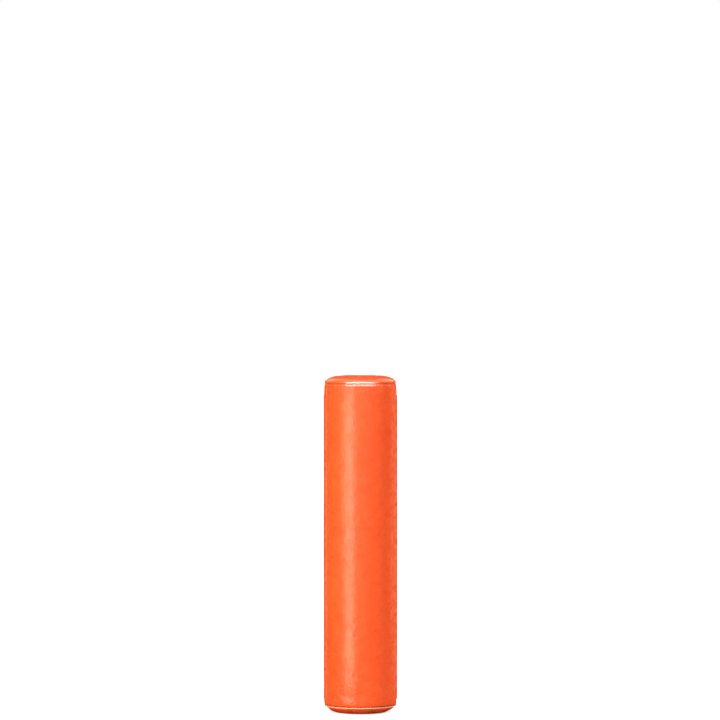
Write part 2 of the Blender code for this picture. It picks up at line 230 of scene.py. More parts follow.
def roundLength(points):
    # length round the pad for each point, measured from the middle of its row
    steps = np.linalg.norm(np.diff(points, axis=1), axis=2)
    total = np.concatenate([np.zeros((len(points), 1)), np.cumsum(steps, axis=1)], axis=1)
    return total - total[:, -1:] / 2


def fromEdge(count):
    return np.minimum(np.arange(count), np.arange(count)[::-1])


def clearSelection():
    bpy.ops.object.select_all(action="DESELECT")


def makeActive(piece):
    clearSelection()
    piece.select_set(True)
    bpy.context.view_layer.objects.active = piece
    return piece


@contextmanager
def editing(piece):
    # edit mode with the whole mesh selected
    makeActive(piece)
    bpy.ops.object.mode_set(mode="EDIT")
    bpy.ops.mesh.select_all(action="SELECT")
    yield
    bpy.ops.object.mode_set(mode="OBJECT")


def applyPlace():
    bpy.ops.object.transform_apply(location=True, rotation=True, scale=True)


def named(piece, name):
    piece.name = piece.data.name = name
    return piece


def removed(piece):
    bpy.data.objects.remove(piece, do_unlink=True)


def applyModifier(piece, kind, **settings):
    modifier = makeActive(piece).modifiers.new(kind.lower(), kind)
    for key, value in settings.items():
        setattr(modifier, key, value)
    bpy.ops.object.modifier_apply(modifier=modifier.name)
    return piece


def cutOut(piece, cutter):
    applyModifier(piece, "BOOLEAN", operation="DIFFERENCE", object=cutter, solver="EXACT")
    removed(cutter)


def gridPiece(name, points, u, v):
    # a grid whose rows and columns are laid over the given points
    rows, cols = points.shape[:2]
    clearSelection()
    bpy.ops.mesh.primitive_grid_add(x_subdivisions=cols - 1, y_subdivisions=rows - 1, size=1)
    piece = named(bpy.context.object, name)
    mesh = piece.data
    mesh.vertices.foreach_set("co", points.astype(np.float32).ravel())
    corners = np.empty(len(mesh.loops), np.int32)
    mesh.loops.foreach_get("vertex_index", corners)
    uv = stacked(u, v).reshape(-1, 2)[corners]
    mesh.uv_layers[0].data.foreach_set("uv", uv.astype(np.float32).ravel())
    mesh.update()
    return piece


def sheetPiece(name, points, u, v, thickness=pad["vinyl"], offset=-1.0):
    piece = gridPiece(name, points, u, v)
    return applyModifier(piece, "SOLIDIFY", thickness=thickness, offset=offset, use_even_offset=False, use_rim=True)


def meshPiece(name, vertices, faces):
    mesh = bpy.data.meshes.new(name)
    mesh.from_pydata([tuple(v) for v in vertices], [], faces)
    mesh.update()
    piece = bpy.data.objects.new(name, mesh)
    bpy.context.scene.collection.objects.link(piece)
    return piece


def tubeAlong(name, path, outward, radius, sides=12, depth=1.0, fullness=2.0):
    # a covered cord, closed at both ends; depth and fullness flatten it against what it is sewn to
    steps = unit(np.gradient(path, axis=0))
    outward = unit(outward - (outward * steps).sum(1)[:, None] * steps)
    turns = np.linspace(0, 2 * math.pi, sides, endpoint=False)
    high, wide = (fuller(wave, fullness)[:, None] for wave in (np.cos(turns), np.sin(turns)))
    ring = depth * high * outward[:, None] + wide * np.cross(steps, outward)[:, None]
    points = path[:, None] + np.broadcast_to(radius, (len(path),))[:, None, None] * ring
    count = len(path) * sides
    faces = [
        (i + k, i + (k + 1) % sides, i + (k + 1) % sides + sides, i + k + sides)
        for i in range(0, count - sides, sides) for k in range(sides)
    ]
    faces += [tuple(range(sides))[::-1], tuple(range(count - sides, count))]
    piece = meshPiece(name, points.reshape(-1, 3), faces)
    with editing(piece):
        bpy.ops.mesh.normals_make_consistent(inside=False)
    return piece


class Graph:
    # short calls for the shader nodes that the finishes are made of
    def __init__(self, tree):
        self.tree = tree

    def fill(self, sockets, values):
        for label, value in values.items():
            socket = sockets[label]
            if isinstance(value, bpy.types.NodeSocket):
                self.tree.links.new(value, socket)
            elif socket.type == "RGBA" and len(value) == 3:
                socket.default_value = (*value, 1.0)
            else:
                socket.default_value = value

    def node(self, kind, inputs=None, **settings):
        node = self.tree.nodes.new("ShaderNode" + kind)
        for key, value in settings.items():
            setattr(node, key, value)
        self.fill(node.inputs, inputs or {})
        return node.outputs

    def place(self):
        return self.node("TexCoord")["Object"]

    def flat(self):
        return self.node("UVMap", uv_map="UVMap")[0]

    def axes(self, vector):
        return self.node("SeparateXYZ", {0: vector})

    def maths(self, operation, first, second=0.5, clamp=False):
        return self.node("Math", {0: first, 1: second}, operation=operation, use_clamp=clamp)[0]

    def times(self, first, second, clamp=False):
        return self.maths("MULTIPLY", first, second, clamp)

    def plus(self, first, second):
        return self.maths("ADD", first, second)

    def minus(self, first, second):
        return self.maths("SUBTRACT", first, second)

    def spread(self, value, low, high, newLow=0.0, newHigh=1.0):
        limits = {"From Min": low, "From Max": high, "To Min": newLow, "To Max": newHigh}
        return self.node("MapRange", {"Value": value, **limits})[0]

    def noise(self, vector, scale, detail=3.0, roughness=0.5):
        inputs = {"Vector": vector, "Scale": scale, "Detail": detail, "Roughness": roughness}
        return self.node("TexNoise", inputs)["Fac"]

    def cells(self, vector, scale, feature="F1", **inputs):
        return self.node("TexVoronoi", {"Vector": vector, "Scale": scale, **inputs}, feature=feature)["Distance"]

    def stretched(self, vector, scale):
        return self.node("Mapping", {"Vector": vector, "Scale": scale})[0]

    def mix(self, share, first, second):
        return self.node("Mix", {"Factor": share, 6: first, 7: second}, data_type="RGBA")[2]


def newGroup(name, inputs, outputs):
    group = bpy.data.node_groups.new(name, "ShaderNodeTree")
    for label, value in inputs.items():
        group.interface.new_socket(label, in_out="INPUT", socket_type="NodeSocketFloat").default_value = value
    for label in outputs:
        group.interface.new_socket(label, in_out="OUTPUT", socket_type="NodeSocketFloat")
    return Graph(group), group.nodes.new("NodeGroupInput").outputs, group.nodes.new("NodeGroupOutput").inputs


def foldLines(g, flat, turn, width, length, seed):
    # short thin folds that run at an angle over the piece's UV map, 0 to 1
    laid = g.node("Mapping", {
        "Vector": flat, "Rotation": (0.0, 0.0, math.radians(turn)), "Scale": (width, length, 1.0),
        "Location": (0.37 * seed, 0.19 * seed, 0.0),
    }, vector_type="TEXTURE")[0]
    ridge = g.spread(g.maths("ABSOLUTE", g.minus(g.noise(laid, 1.0, 1.0), 0.5)), 0.0, 0.17, 1.0, 0.0)
    return g.times(ridge, g.spread(g.noise(flat, 17.0 + 3.0 * seed, 2.0), 0.42, 0.62))


def makeGrainGroup():
    # pebbled skin of coated fabric, with crossing creases and a slow drift of tone, and a mask of the fold ridges that
    # carries a painted highlight; Height is in millimetres
    g, source, target = newGroup("vinylGrain", {"Pebble": 1.0, "Crinkle": 1.0}, ("Height", "Tone", "Gloss", "Crease"))
    place, flat = g.place(), g.flat()
    pebble = g.cells(place, 620.0, "SMOOTH_F1", Smoothness=0.6)
    soft, fine = g.noise(place, 62.0, 2.0), g.noise(place, 240.0, 2.0)
    drift, blotch = g.noise(place, 3.0, 4.0), g.noise(place, 24.0)
    folds = g.plus(foldLines(g, flat, 38, 0.0095, 0.030, 1), foldLines(g, flat, -33, 0.0105, 0.034, 2))
    creases = g.times(g.plus(g.times(folds, 0.60), g.times(soft, 0.90)), source["Crinkle"])
    skin = g.times(g.times(pebble, source["Pebble"]), 0.07)
    rubbed = g.times(folds, 0.25)  # the tops of the folds are rubbed smoother
    g.fill(target, {
        "Height": g.plus(g.plus(creases, skin), g.times(fine, 0.12)),
        "Tone": g.plus(g.times(drift, 0.6), g.times(blotch, 0.4)),
        "Gloss": g.minus(g.plus(g.times(blotch, 0.7), g.times(fine, 0.3)), rubbed),
        # Crease: the fold ridges, where a paler colour is painted on as a highlight
        "Crease": g.times(folds, source["Crinkle"], clamp=True),
    })
    return g.tree


def makeSoilGroup():
    # scuffs low down and dust that gathers in patches, 0 to 1
    g, source, target = newGroup("scuffAndDust", {"Low": 0.0, "High": 0.5, "Amount": 0.5}, ("Mask",))
    place = g.place()
    height = g.spread(g.axes(place)["Z"], source["Low"], source["High"], 1.0, 0.0)
    specks = g.spread(g.noise(g.stretched(place, (1, 1, 0.2)), 38.0, 5.0, 0.65), 0.5, 0.75)
    g.fill(target, {"Mask": g.times(g.times(specks, height), source["Amount"], clamp=True)})
    return g.tree


def makeWeaveGroup():
    # over-and-under weave on the piece's own UV map, which is in metres
    g, source, target = newGroup("tapeWeave", {"Threads": 900.0}, ("Height", "Shade"))
    uv = g.flat()
    waves = [
        g.maths("ABSOLUTE", g.maths("SINE", g.times(g.times(g.axes(uv)[axis], source["Threads"]), math.pi)))
        for axis in "XY"
    ]
    total, fuzz = g.maths("MAXIMUM", *waves), g.noise(uv, 2500.0)
    g.fill(target, {"Height": g.plus(g.times(total, 0.7), g.times(fuzz, 0.3)), "Shade": g.times(total, fuzz)})
    return g.tree


grainGroup, soilGroup, weaveGroup = makeGrainGroup(), makeSoilGroup(), makeWeaveGroup()


def vinylSurface(g, look):
    grain = g.node("Group", {"Pebble": look["pebble"], "Crinkle": look["crinkle"]}, node_tree=grainGroup)
    soil = g.node("Group", {"Low": 0.0, "High": look["soilHeight"], "Amount": look["soil"]}, node_tree=soilGroup)
    colour = g.mix(g.spread(grain["Tone"], 0.35, 0.65), look["deep"], look["bright"])
    # painted highlight: the fold ridges are mixed towards a paler orange that stands in for the glints of the crinkles
    colour = g.mix(g.times(grain["Crease"], 0.22), colour, look["fold"])
    return {
        "Base Color": g.mix(soil["Mask"], colour, look["dirt"]),
        "Roughness": g.spread(grain["Gloss"], 0.3, 0.7, look["smoothest"], look["dullest"]),
        "Specular IOR Level": look["specular"], "Coat Weight": look["coat"],
        "Coat Roughness": look["coatRoughness"], "Coat IOR": look["coatIor"],
    }, grain["Height"], look["bump"]


def foamSurface(g):
    cells = g.cells(g.place(), 520.0)
    colour = g.mix(g.spread(cells, 0.1, 0.7), (0.90, 0.86, 0.72), (0.72, 0.66, 0.48))
    return {"Base Color": colour, "Roughness": 0.95}, cells, 0.0015


def napSurface(g, deep, bright, scale, depth):
    # hook or loop pile: rows of little tufts on the piece's own UV map
    uv = g.flat()
    height = g.minus(g.times(g.noise(uv, scale * 2.3, 4.0, 0.7), 0.6), g.cells(uv, scale, Randomness=0.55))
    colour = g.mix(g.spread(height, -0.5, 0.3), deep, bright)
    return {"Base Color": colour, "Roughness": 0.9, "Sheen Weight": 0.2, "Sheen Roughness": 0.5}, height, depth


def wovenSurface(g, deep, bright, threads):
    weave = g.node("Group", {"Threads": threads}, node_tree=weaveGroup)
    colour = g.mix(weave["Shade"], deep, bright)
    return {"Base Color": colour, "Roughness": 0.85, "Sheen Weight": 0.2}, weave["Height"], 0.0005


def plasticSurface(g, deep, bright, roughness, specular=0.5, coat=0.0, scale=1500.0):
    # drawn plastic and thread: a fine fleck in colour and gloss
    fleck = g.noise(g.place(), scale)
    return {
        "Base Color": g.mix(g.spread(fleck, 0.35, 0.65), deep, bright),
        "Roughness": g.spread(fleck, 0.3, 0.7, roughness - 0.06, roughness + 0.06),
        "Specular IOR Level": specular, "Coat Weight": coat, "Coat Roughness": 0.2, "Coat IOR": 2.0,
    }, fleck, 0.0003


def nickelSurface(g):
    place = g.place()
    brushed = g.noise(g.stretched(place, (1, 1, 0.12)), 2200.0)
    tarnish = g.noise(place, 160.0, 4.0)
    colour = g.mix(g.spread(tarnish, 0.4, 0.7), (0.68, 0.67, 0.64), (0.46, 0.44, 0.40))
    roughness = g.spread(tarnish, 0.3, 0.7, 0.2, 0.42)
    return {"Base Color": colour, "Roughness": roughness, "Metallic": 1.0}, brushed, 0.0001


def newMaterial(name, surface, *look):
    # a surface gives the shader's inputs, then the height of its relief and how deep that is
    material = bpy.data.materials.new(name)
    material.use_nodes = True
    g = Graph(material.node_tree)
    inputs, height, depth = surface(g, *look)
    if height:
        inputs["Normal"] = g.node("Bump", {"Distance": depth, "Strength": 1.0, "Height": height})[0]
    g.fill(g.tree.nodes["Principled BSDF"].inputs, inputs)
    return material


orangeLook = {
    "deep": (0.93, 0.077, 0.006), "bright": (0.96, 0.096, 0.010),
    # fold: a paler orange painted on the fold ridges as a highlight
    "fold": (0.98, 0.155, 0.040), "dirt": (0.42, 0.15, 0.06),
    "soilHeight": 0.45, "soil": 0.20, "pebble": 1.0, "crinkle": 1.0, "smoothest": 0.27, "dullest": 0.37,
    "specular": 0.5, "coat": 0.0, "coatRoughness": 0.3, "coatIor": 1.5, "bump": 0.001,
}
weltLook = dict(  # pulled tight over its cord, so smoother and glossier
    orangeLook, deep=(0.93, 0.090, 0.012), bright=(0.97, 0.120, 0.020), fold=(0.98, 0.18, 0.05),
    dirt=(0.42, 0.16, 0.08), soil=0.12, pebble=0.4, crinkle=0.10, smoothest=0.20, dullest=0.26,
    specular=0.9, coat=0.75, coatRoughness=0.20, coatIor=2.0,
)
# painted highlight: the bottom welt is the wall's orange vinyl, coloured pale cream here to stand in for the bright
# line that light draws along it
paintedHighlightWeltLook = dict(
    weltLook, deep=(0.90, 0.54, 0.34), bright=(0.96, 0.70, 0.48), coat=0.3, coatIor=1.5, specular=0.5,
)
# the piping's own orange, made paler than the wall vinyl as a painted highlight along the upright seams
pipingHighlightLook = dict(
    weltLook, deep=(0.93, 0.165, 0.060), bright=(0.97, 0.23, 0.090), coat=0.2, coatIor=1.5, specular=0.5,
    smoothest=0.32, dullest=0.42,
)
linerLook = dict(
    orangeLook, deep=(0.70, 0.085, 0.018), bright=(0.80, 0.115, 0.028), fold=(0.86, 0.16, 0.05),
    dirt=(0.38, 0.14, 0.07), soilHeight=2.5, soil=0.3, pebble=1.6, crinkle=0.5, smoothest=0.50, dullest=0.64,
    specular=0.4,
)
finishes = {name: newMaterial(name, *look) for name, look in {
    "orangeVinyl": (vinylSurface, orangeLook),
    "capVinyl": (vinylSurface, dict(orangeLook, crinkle=0.45)),
    "stripVinyl": (vinylSurface, dict(orangeLook, crinkle=0.2)),
    "linerVinyl": (vinylSurface, linerLook),
    "weltVinyl": (vinylSurface, weltLook),
    "paleWeltVinyl": (vinylSurface, paintedHighlightWeltLook),
    "pipingVinyl": (vinylSurface, pipingHighlightLook),
    "foamCells": (foamSurface,),
    "loopNap": (napSurface, (0.50, 0.055, 0.012), (0.85, 0.16, 0.05), 700.0, 0.0012),
    "hookNap": (napSurface, (0.38, 0.04, 0.010), (0.72, 0.12, 0.035), 520.0, 0.0016),
    "zipWeave": (wovenSurface, (0.028, 0.028, 0.030), (0.085, 0.085, 0.090), 1100.0),
    "coilNylon": (plasticSurface, (0.030, 0.030, 0.032), (0.055, 0.055, 0.058), 0.42, 0.5, 0.0, 900.0),
    "nickelPlate": (nickelSurface,),
    "stitchThread": (plasticSurface, (0.86, 0.66, 0.46), (0.97, 0.84, 0.68), 0.5),
    "glossThread": (plasticSurface, (0.90, 0.27, 0.13), (0.96, 0.42, 0.23), 0.28, 1.0, 0.7),
    "closureThread": (plasticSurface, (0.90, 0.36, 0.20), (0.98, 0.50, 0.30), 0.5),
    # painted shade: thread near black-red, standing in for the shadows between the puckers of the base stitch row
    "redThread": (plasticSurface, (0.20, 0.008, 0.002), (0.30, 0.014, 0.004), 0.6, 0.1),
    "hingeThread": (plasticSurface, (0.84, 0.15, 0.05), (0.94, 0.22, 0.08), 0.5),
    "linerThread": (plasticSurface, (0.80, 0.22, 0.08), (0.92, 0.34, 0.15), 0.6),
}.items()}
print("materials ready")


def finishPiece(piece, finish, smooth=50):
    piece.data.materials.clear()
    piece.data.materials.append(finishes[finish])
    makeActive(piece)
    bpy.ops.object.shade_smooth_by_angle(angle=math.radians(smooth))
    return piece


def bothHalves(piece, finish, node=None, smooth=50, body="shell"):
    # finishes the front piece and makes the rear one, which is the same turned half a turn about the bore
    makeActive(finishPiece(piece, finish, smooth))
    bpy.ops.object.duplicate()
    rear = named(bpy.context.object, piece.name.replace("front", "rear"))
    bpy.ops.transform.rotate(value=math.pi, orient_axis="Z", center_override=(0, 0, 0))
    applyPlace()
    for half, side in ((piece, "front"), (rear, "rear")):
        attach(half, f"{side}_{body}")
        if node:
            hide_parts(f"{side}_{node}")
    return piece, rear


# padded covers: wall, top cap and bottom cap
coverLook = {
    "columns": 125,  # round the outside
    "wallRow": 0.0066,
    "capRow": 0.005,
    "seamRow": 0.0022,
    "seamReach": 0.020,
    "seamDip": 0.0018,
    "seamDipWidth": 0.0042,
    "topValley": 0.0008,  # groove between each welt and its row of stitches
    "baseValley": 0.0016,
    "topValleyAt": 0.0068,
    "baseValleyAt": 0.0100,
    "valleyWidth": 0.0030,
    "topStitch": 0.0104,  # row of stitches under the upper welt
    "baseStitch": 0.0122,
    "stitchDip": 0.0006,
    "flapSeamX": 0.183,  # puckers slant away from here
}
clothLook = {
    "vertex_group_mass": "sewn", "quality": 6, "mass": 0.05, "use_pressure": True, "tension_stiffness": 25,
    "compression_stiffness": 25, "shear_stiffness": 12, "bending_stiffness": 0.4,
}
simFrames = 16
stripLook = {"lowZ": 0.073, "highZ": 1.719, "radius": 0.1978, "reach": 0.070 / pad["radius"]}
stripLow, stripHigh = stripLook["lowZ"], stripLook["highZ"]
flapLook = {
    "low": -0.079, "high": 0.086,  # its edges, measured round the pad from +X
    "rampEnd": math.radians(7.5), "rampWidth": 0.040 / pad["radius"], "outerRadius": 0.201, "cornerRound": 0.014,
    "hem": 0.013, "hemRise": 0.0007, "ridge": 0.0009,
}


def gradedRows(start, end, step, endStep, reach):
    # lengths along the profile, closer together near both ends
    places = [start]
    while places[-1] < end:
        s = places[-1]
        share = smoothStep(min(s - start, end - s) / reach)
        places.append(s + endStep + (step - endStep) * float(share))
    places = np.array(places)
    return start + (places - start) * (end - start) / (places[-1] - start)


def inflate(points, normals, sewnRows, pressure, slack, limit):
    # cloth: the panel is blown against its sewn edges, and comes back as a swell along its normals
    pinned = np.zeros(points.shape[:2], bool)
    pinned[sewnRows] = True
    pinned[:, :6] = pinned[:, -6:] = True
    coarse = np.ascontiguousarray(points[::2, ::2])
    trial = gridPiece("trialPanel", coarse, np.zeros(coarse.shape[:2]), 0.0)
    group = trial.vertex_groups.new(name="sewn")
    group.add([int(i) for i in np.flatnonzero(pinned[::2, ::2].ravel())], 1.0, "REPLACE")
    cloth = trial.modifiers.new("cloth", "CLOTH")
    for key, value in {**clothLook, "uniform_pressure_force": pressure, "shrink_min": -slack}.items():
        setattr(cloth.settings, key, value)
    cloth.settings.effector_weights.gravity = 0
    cloth.collision_settings.use_collision = False
    scene = bpy.context.scene
    for step in range(1, simFrames + 1):
        scene.frame_set(step)
    blown = trial.evaluated_get(bpy.context.evaluated_depsgraph_get())
    moved = np.empty(coarse.size, np.float32)
    blown.to_mesh().vertices.foreach_get("co", moved)
    blown.to_mesh_clear()
    swell = ((moved.reshape(coarse.shape) - coarse) * normals[::2, ::2]).sum(2)
    print(f"  cloth swell {swell.min() * 1000:.1f} to {swell.max() * 1000:.1f} mm")
    scene.frame_set(1)
    removed(trial)

    def doubled(field):
        # one subdivision: a smooth value half way between each two rows
        padded = np.concatenate([2 * field[:1] - field[1:2], field, 2 * field[-1:] - field[-2:-1]])
        full = np.empty((2 * len(field) - 1, field.shape[1]))
        full[::2], full[1::2] = field, (9 * (padded[1:-2] + padded[2:-1]) - padded[:-3] - padded[3:]) / 16
        return full

    return doubled(doubled(limit * np.tanh(swell / limit)).T).T


def underClosures(points):
    # 1 where the hinge strip or the flap lies on the wall, fading out just past their edges
    angle = np.abs(np.arctan2(points[..., 1], points[..., 0]))
    width, z = 0.012 / pad["radius"], points[..., 2]
    hinge = 1 - fade(math.pi - angle, stripLook["reach"] + 0.2 * width, width)
    flap = 1 - fade(angle, flapLook["high"] / pad["radius"] + 0.2 * width, width)
    return np.maximum(hinge, flap) * fade(z, stripLow - 0.014, 0.012) * smoothStep((stripHigh + 0.014 - z) / 0.012)


def seamGroove(points, fromSeam):
    # the dip along a sewn ring, shallower where the ring ends at the parting faces
    ends = fade(np.abs(points[..., 1]), 0.008, 0.07)
    return coverLook["seamDip"] * near(fromSeam, coverLook["seamDipWidth"]) * (0.15 + 0.85 * ends)


def wallSwell(points, normals, s):
    fromLow, fromHigh = s - seamLow, seamHigh - s
    across, along = roundLength(points), fromLow
    swell = inflate(points, normals, [0, 1, 2, -3, -2, -1], 3.0, 0.004, 0.0016)
    swell = (swell - np.minimum(swell.mean(), 0.0012)) * fade(np.minimum(fromLow, fromHigh), -0.01, 0.11)
    # long soft swells, then diagonal crinkles
    swell += ripple(across, along, 0.00035, 0, 0, 0.11, 0.16, 11)
    swell += ripple(across, along, 0.00028, 0.55, -0.35, 0.034, 0.085, 12)
    swell += ripple(across, along, 0.00018, -0.4, 0.3, 0.017, 0.034, 13)
    # gathers that fade away from the sewn rings
    swell += ripple(across, along, 0.0010 * np.exp(-fromHigh / 0.030), 0.3, 0, 0.016, 0.05, 14)
    swell += ripple(across, along, 0.0005 * np.exp(-fromLow / 0.022), -0.3, 0, 0.017, 0.05, 15)
    # slanting puckers beside the flap's sewn edge
    beside = np.clip((coverLook["flapSeamX"] - points[..., 0]) / 0.035, 0, None) * (points[..., 0] > 0)
    pucker = near(beside, 0.75) * (beside > 0) * (points[..., 1] < -0.03)
    swell += ripple(across, along, 0.0007 * pucker, 0, 0.9, 0.125, 0.025, 16)
    free = 1 - underClosures(points)
    swell = swell * free - 0.0003 * (1 - free)
    swell -= seamGroove(points, fromLow) + seamGroove(points, fromHigh)
    swell -= coverLook["topValley"] * near(fromHigh - coverLook["topValleyAt"], coverLook["valleyWidth"])
    swell -= coverLook["baseValley"] * near(fromLow - coverLook["baseValleyAt"], coverLook["valleyWidth"])
    return swell - coverLook["stitchDip"] * near(fromLow - coverLook["baseStitch"], 0.003)


def crownSwell(points, normals, s):
    along, toBore = s - seamHigh, runEnd - s
    spread = roundLength(points) * 0.19 / np.maximum(np.hypot(points[..., 0], points[..., 1]), pad["bore"] - 0.002)
    swell = inflate(points, normals, [0, 1, -4, -3, -2, -1], 2.5, 0.006, 0.0022)
    swell = swell - np.minimum(swell.mean(), 0.0015)
    body = fade(along, 0, 0.02) * fade(toBore, 0.03, 0.02)
    swell += ripple(spread, along, 0.0011 * body, 0.5, 0, 0.055, 0.05, 21)
    swell += ripple(spread, along, 0.0010 * np.exp(-along / 0.035), 0, 0, 0.020, 0.06, 22)
    swell += ripple(spread, along, 0.0009 * near(toBore - 0.034, 0.018), 0, 0, 0.024, 0.06, 23)
    return np.minimum(swell - seamGroove(points, along), 0.0012) * fade(toBore, 0, 0.012)


def baseSwell(points, normals, s):
    across, toSeam = roundLength(points), seamLow - s
    swell = ripple(across, toSeam, 0.0009 * np.exp(-toSeam / 0.030), 0, 0, 0.018, 0.05, 31)
    swell += ripple(across, toSeam, 0.0006 * fade(s, 0, 0.04), 0, 0, 0.05, 0.05, 32)
    flat = fade(points[..., 2], 0.0005, 0.012)  # it stands flat on the ground
    return (swell - seamGroove(points, toSeam)) * flat * fade(s, 0, 0.012)


def makeCover(name, start, end, row, swellOf, finish, node):
    s = gradedRows(start, end, row, coverLook["seamRow"], coverLook["seamReach"])
    if len(s) % 2 == 0:  # the cloth takes every second row
        s = np.append(s[:-1], [(s[-2] + s[-1]) / 2, s[-1]])
    points, normals = halfShell(s, coverLook["columns"])
    still = fade(fromEdge(points.shape[1]), 3, 8)  # the parting faces stay flat
    points = points + (swellOf(points, normals, s[:, None]) * still)[..., None] * normals
    bothHalves(sheetPiece(name, points, roundLength(points), s[:, None]), finish, node=node)


makeCover("frontWall", seamLow, seamHigh, coverLook["wallRow"], wallSwell, "orangeVinyl", "outer_cover")
print("walls ready")
makeCover("frontTopCap", seamHigh, runEnd, coverLook["capRow"], crownSwell, "capVinyl", "top_cap")
makeCover("frontBaseCap", 0.0, seamLow, coverLook["capRow"], baseSwell, "capVinyl", "bottom_cap")
print("caps ready")

# welts: a covered cord in each sewn ring; a lean turns its flat face up or down, in degrees
weltSize = {"stand": 0.0014, "tuck": 0.004, "endLength": 0.018, "endSink": 0.0024, "endSize": 0.72}
topWeltLook = {"radius": 0.0034, "depth": 0.70, "fullness": 3.6, "lean": 24, "lift": 0.0042}
baseWeltLook = {"radius": 0.0024, "depth": 0.95, "fullness": 2.2, "lean": -22, "lift": 0.0064}


def makeWelt(name, seam, look, seed):
    points, normals = halfShell(
        np.array([seam + look["lift"]]), 260, inset=-weltSize["stand"], lap=weltSize["tuck"], filletCount=7)
    path, out, lean = points[0], normals[0], math.radians(look["lean"])
    face = math.cos(lean) * unit(out * [1, 1, 0]) + np.array([0.0, 0.0, math.sin(lean)])
    length = roundLength(points)[0]
    radius = look["radius"] * (1 + unevenness(length, 0.05, 0.007, seed) + unevenness(length, 0.04, 0.03, seed + 1))
    ends = smoothStep((length[-1] - np.abs(length)) / weltSize["endLength"])
    radius = radius * (weltSize["endSize"] + (1 - weltSize["endSize"]) * ends)
    path = path - out * ((1 - ends) * weltSize["endSink"])[:, None]
    return tubeAlong(name, path, face, radius, 16, look["depth"], look["fullness"])


bothHalves(makeWelt("frontTopWelt", seamHigh, topWeltLook, 41), "weltVinyl", node="top_welt", smooth=80)
# the bottom welt's pale cream is a painted highlight
bothHalves(makeWelt("frontBaseWelt", seamLow, baseWeltLook, 43), "paleWeltVinyl", node="bottom_welt", smooth=80)

# upright piping, sewn in where the hinge strip and the flap meet the wall
pipingSize = {"radius": 0.0018, "stand": -0.0001, "beside": 0.0026, "fromSeam": 0.011, "endSink": 0.003}


def makePiping(name, azimuth, body):
    s = np.linspace(seamLow + pipingSize["fromSeam"], seamHigh - pipingSize["fromSeam"], 150)
    r, z, normal = profileAt(s)
    ends = smoothStep(np.minimum(s - s[0], s[-1] - s) / 0.02)
    reach = pipingSize["stand"] - pipingSize["endSink"] * (1 - ends)
    path = around(r + reach * normal[:, 0], azimuth, z + reach * normal[:, 1])
    radius = pipingSize["radius"] * (1 + unevenness(s, 0.05, 0.012, 47))
    piece = tubeAlong(name, path, around(normal[:, 0], azimuth, normal[:, 1]), radius, 8)
    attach(finishPiece(piece, "pipingVinyl", smooth=80), body)


beside = pipingSize["beside"] / pad["radius"]
makePiping("frontHingePiping", math.pi + stripLook["reach"] + beside, "front_shell")
makePiping("rearHingePiping", math.pi - stripLook["reach"] - beside, "rear_shell")
makePiping("flapPiping", flapLook["low"] / pad["radius"] - beside, "front_shell")
print("welts ready")

# liner: parting faces and bore, with the sunk zip channel
zipLook = {
    "x": 0.13475, "y": -0.0157, "lowZ": 0.055, "highZ": 1.769, "slotHalf": 0.0065, "slotEnd": 0.0004,
    "channelHalf": 0.022, "depth": 0.0152, "channelLow": 0.030, "channelHigh": 1.794, "fade": 0.018,
    "soft": 0.002, "lean": 0.001,  # the channel's rounded edge, and how far its side leans in
    "tapeWidth": 0.015, "tapeThickness": 0.0008, "gap": 0.0011,
}
linerInset = 0.0008  # the liner's edge lies under the cover's turned-over lap
leftFace, rightFace = (pad["faceY"] + linerInset + step for step in (pad["stagger"], -pad["stagger"]))


def capDrop(x, start, width, fullness):
    return (1 - np.clip((np.abs(x) - start) / width, 0, 1) ** fullness) ** (1 / fullness)


def lipDrop(x):
    inner = pad["bore"] + pad["lip"]
    return pad["lip"] * (1 - np.sqrt(1 - np.clip((inner - np.abs(x)) / pad["lip"], 0, 1) ** 2))


def topOf(x):
    # height of the crown over a distance from the axis
    inner = pad["bore"] + pad["lip"]
    drop = capDrop(x, inner, crownShape["seamRadius"] - inner, crownShape["fullness"])
    return crownShape["seamZ"] + crownShape["rise"] * drop - lipDrop(x)


def bottomOf(x):
    flat = baseShape["seamRadius"] - baseShape["width"]
    drop = capDrop(x, flat, baseShape["width"], baseShape["fullness"])
    return baseShape["round"] * (1 - drop) + lipDrop(x)


def channelDepth(z):
    low, high, width = zipLook["channelLow"], zipLook["channelHigh"], zipLook["fade"]
    return zipLook["depth"] * fade(z, low, width) * smoothStep((high - z) / width)


def edgeDepth(z):
    return np.minimum(zipLook["soft"], channelDepth(z) / 2)


def slotHalf(z):
    end = zipLook["slotEnd"]
    return end + (zipLook["slotHalf"] - end) * fade(z, 0.044, 0.010) * smoothStep((1.780 - z) / 0.010)


def arcColumns(x, y, radius, angles):
    # a column is one upright line of the liner: whether it is in the bore, and its x and y for its heights
    return [(True, lambda z, outer, a=a: (x + radius * math.cos(a), y + radius * math.sin(a))) for a in angles]


def channelColumns(side):
    # over the channel's rounded edge, down its side and along its floor to the zip
    x, soft = zipLook["x"], zipLook["soft"]
    wall = x + side * zipLook["channelHalf"]
    foot = wall - side * zipLook["lean"]
    return [(False, lambda z, outer, t=t: (
        wall + side * soft * (1 - math.sin(t)), -rightFace - edgeDepth(z) * (1 - math.cos(t)),
    )) for t in np.linspace(0, math.pi / 2, 5)[1:]] + [(False, lambda z, outer, a=a: (
        wall + a * (foot - wall), -rightFace - edgeDepth(z) - a * (channelDepth(z) - edgeDepth(z)),
    )) for a in np.linspace(0, 1, 4)[1:]] + [(False, lambda z, outer, a=a: (
        foot + a * (x + side * slotHalf(z) - foot), -rightFace - channelDepth(z),
    )) for a in np.linspace(0, 1, 8)[1:]]


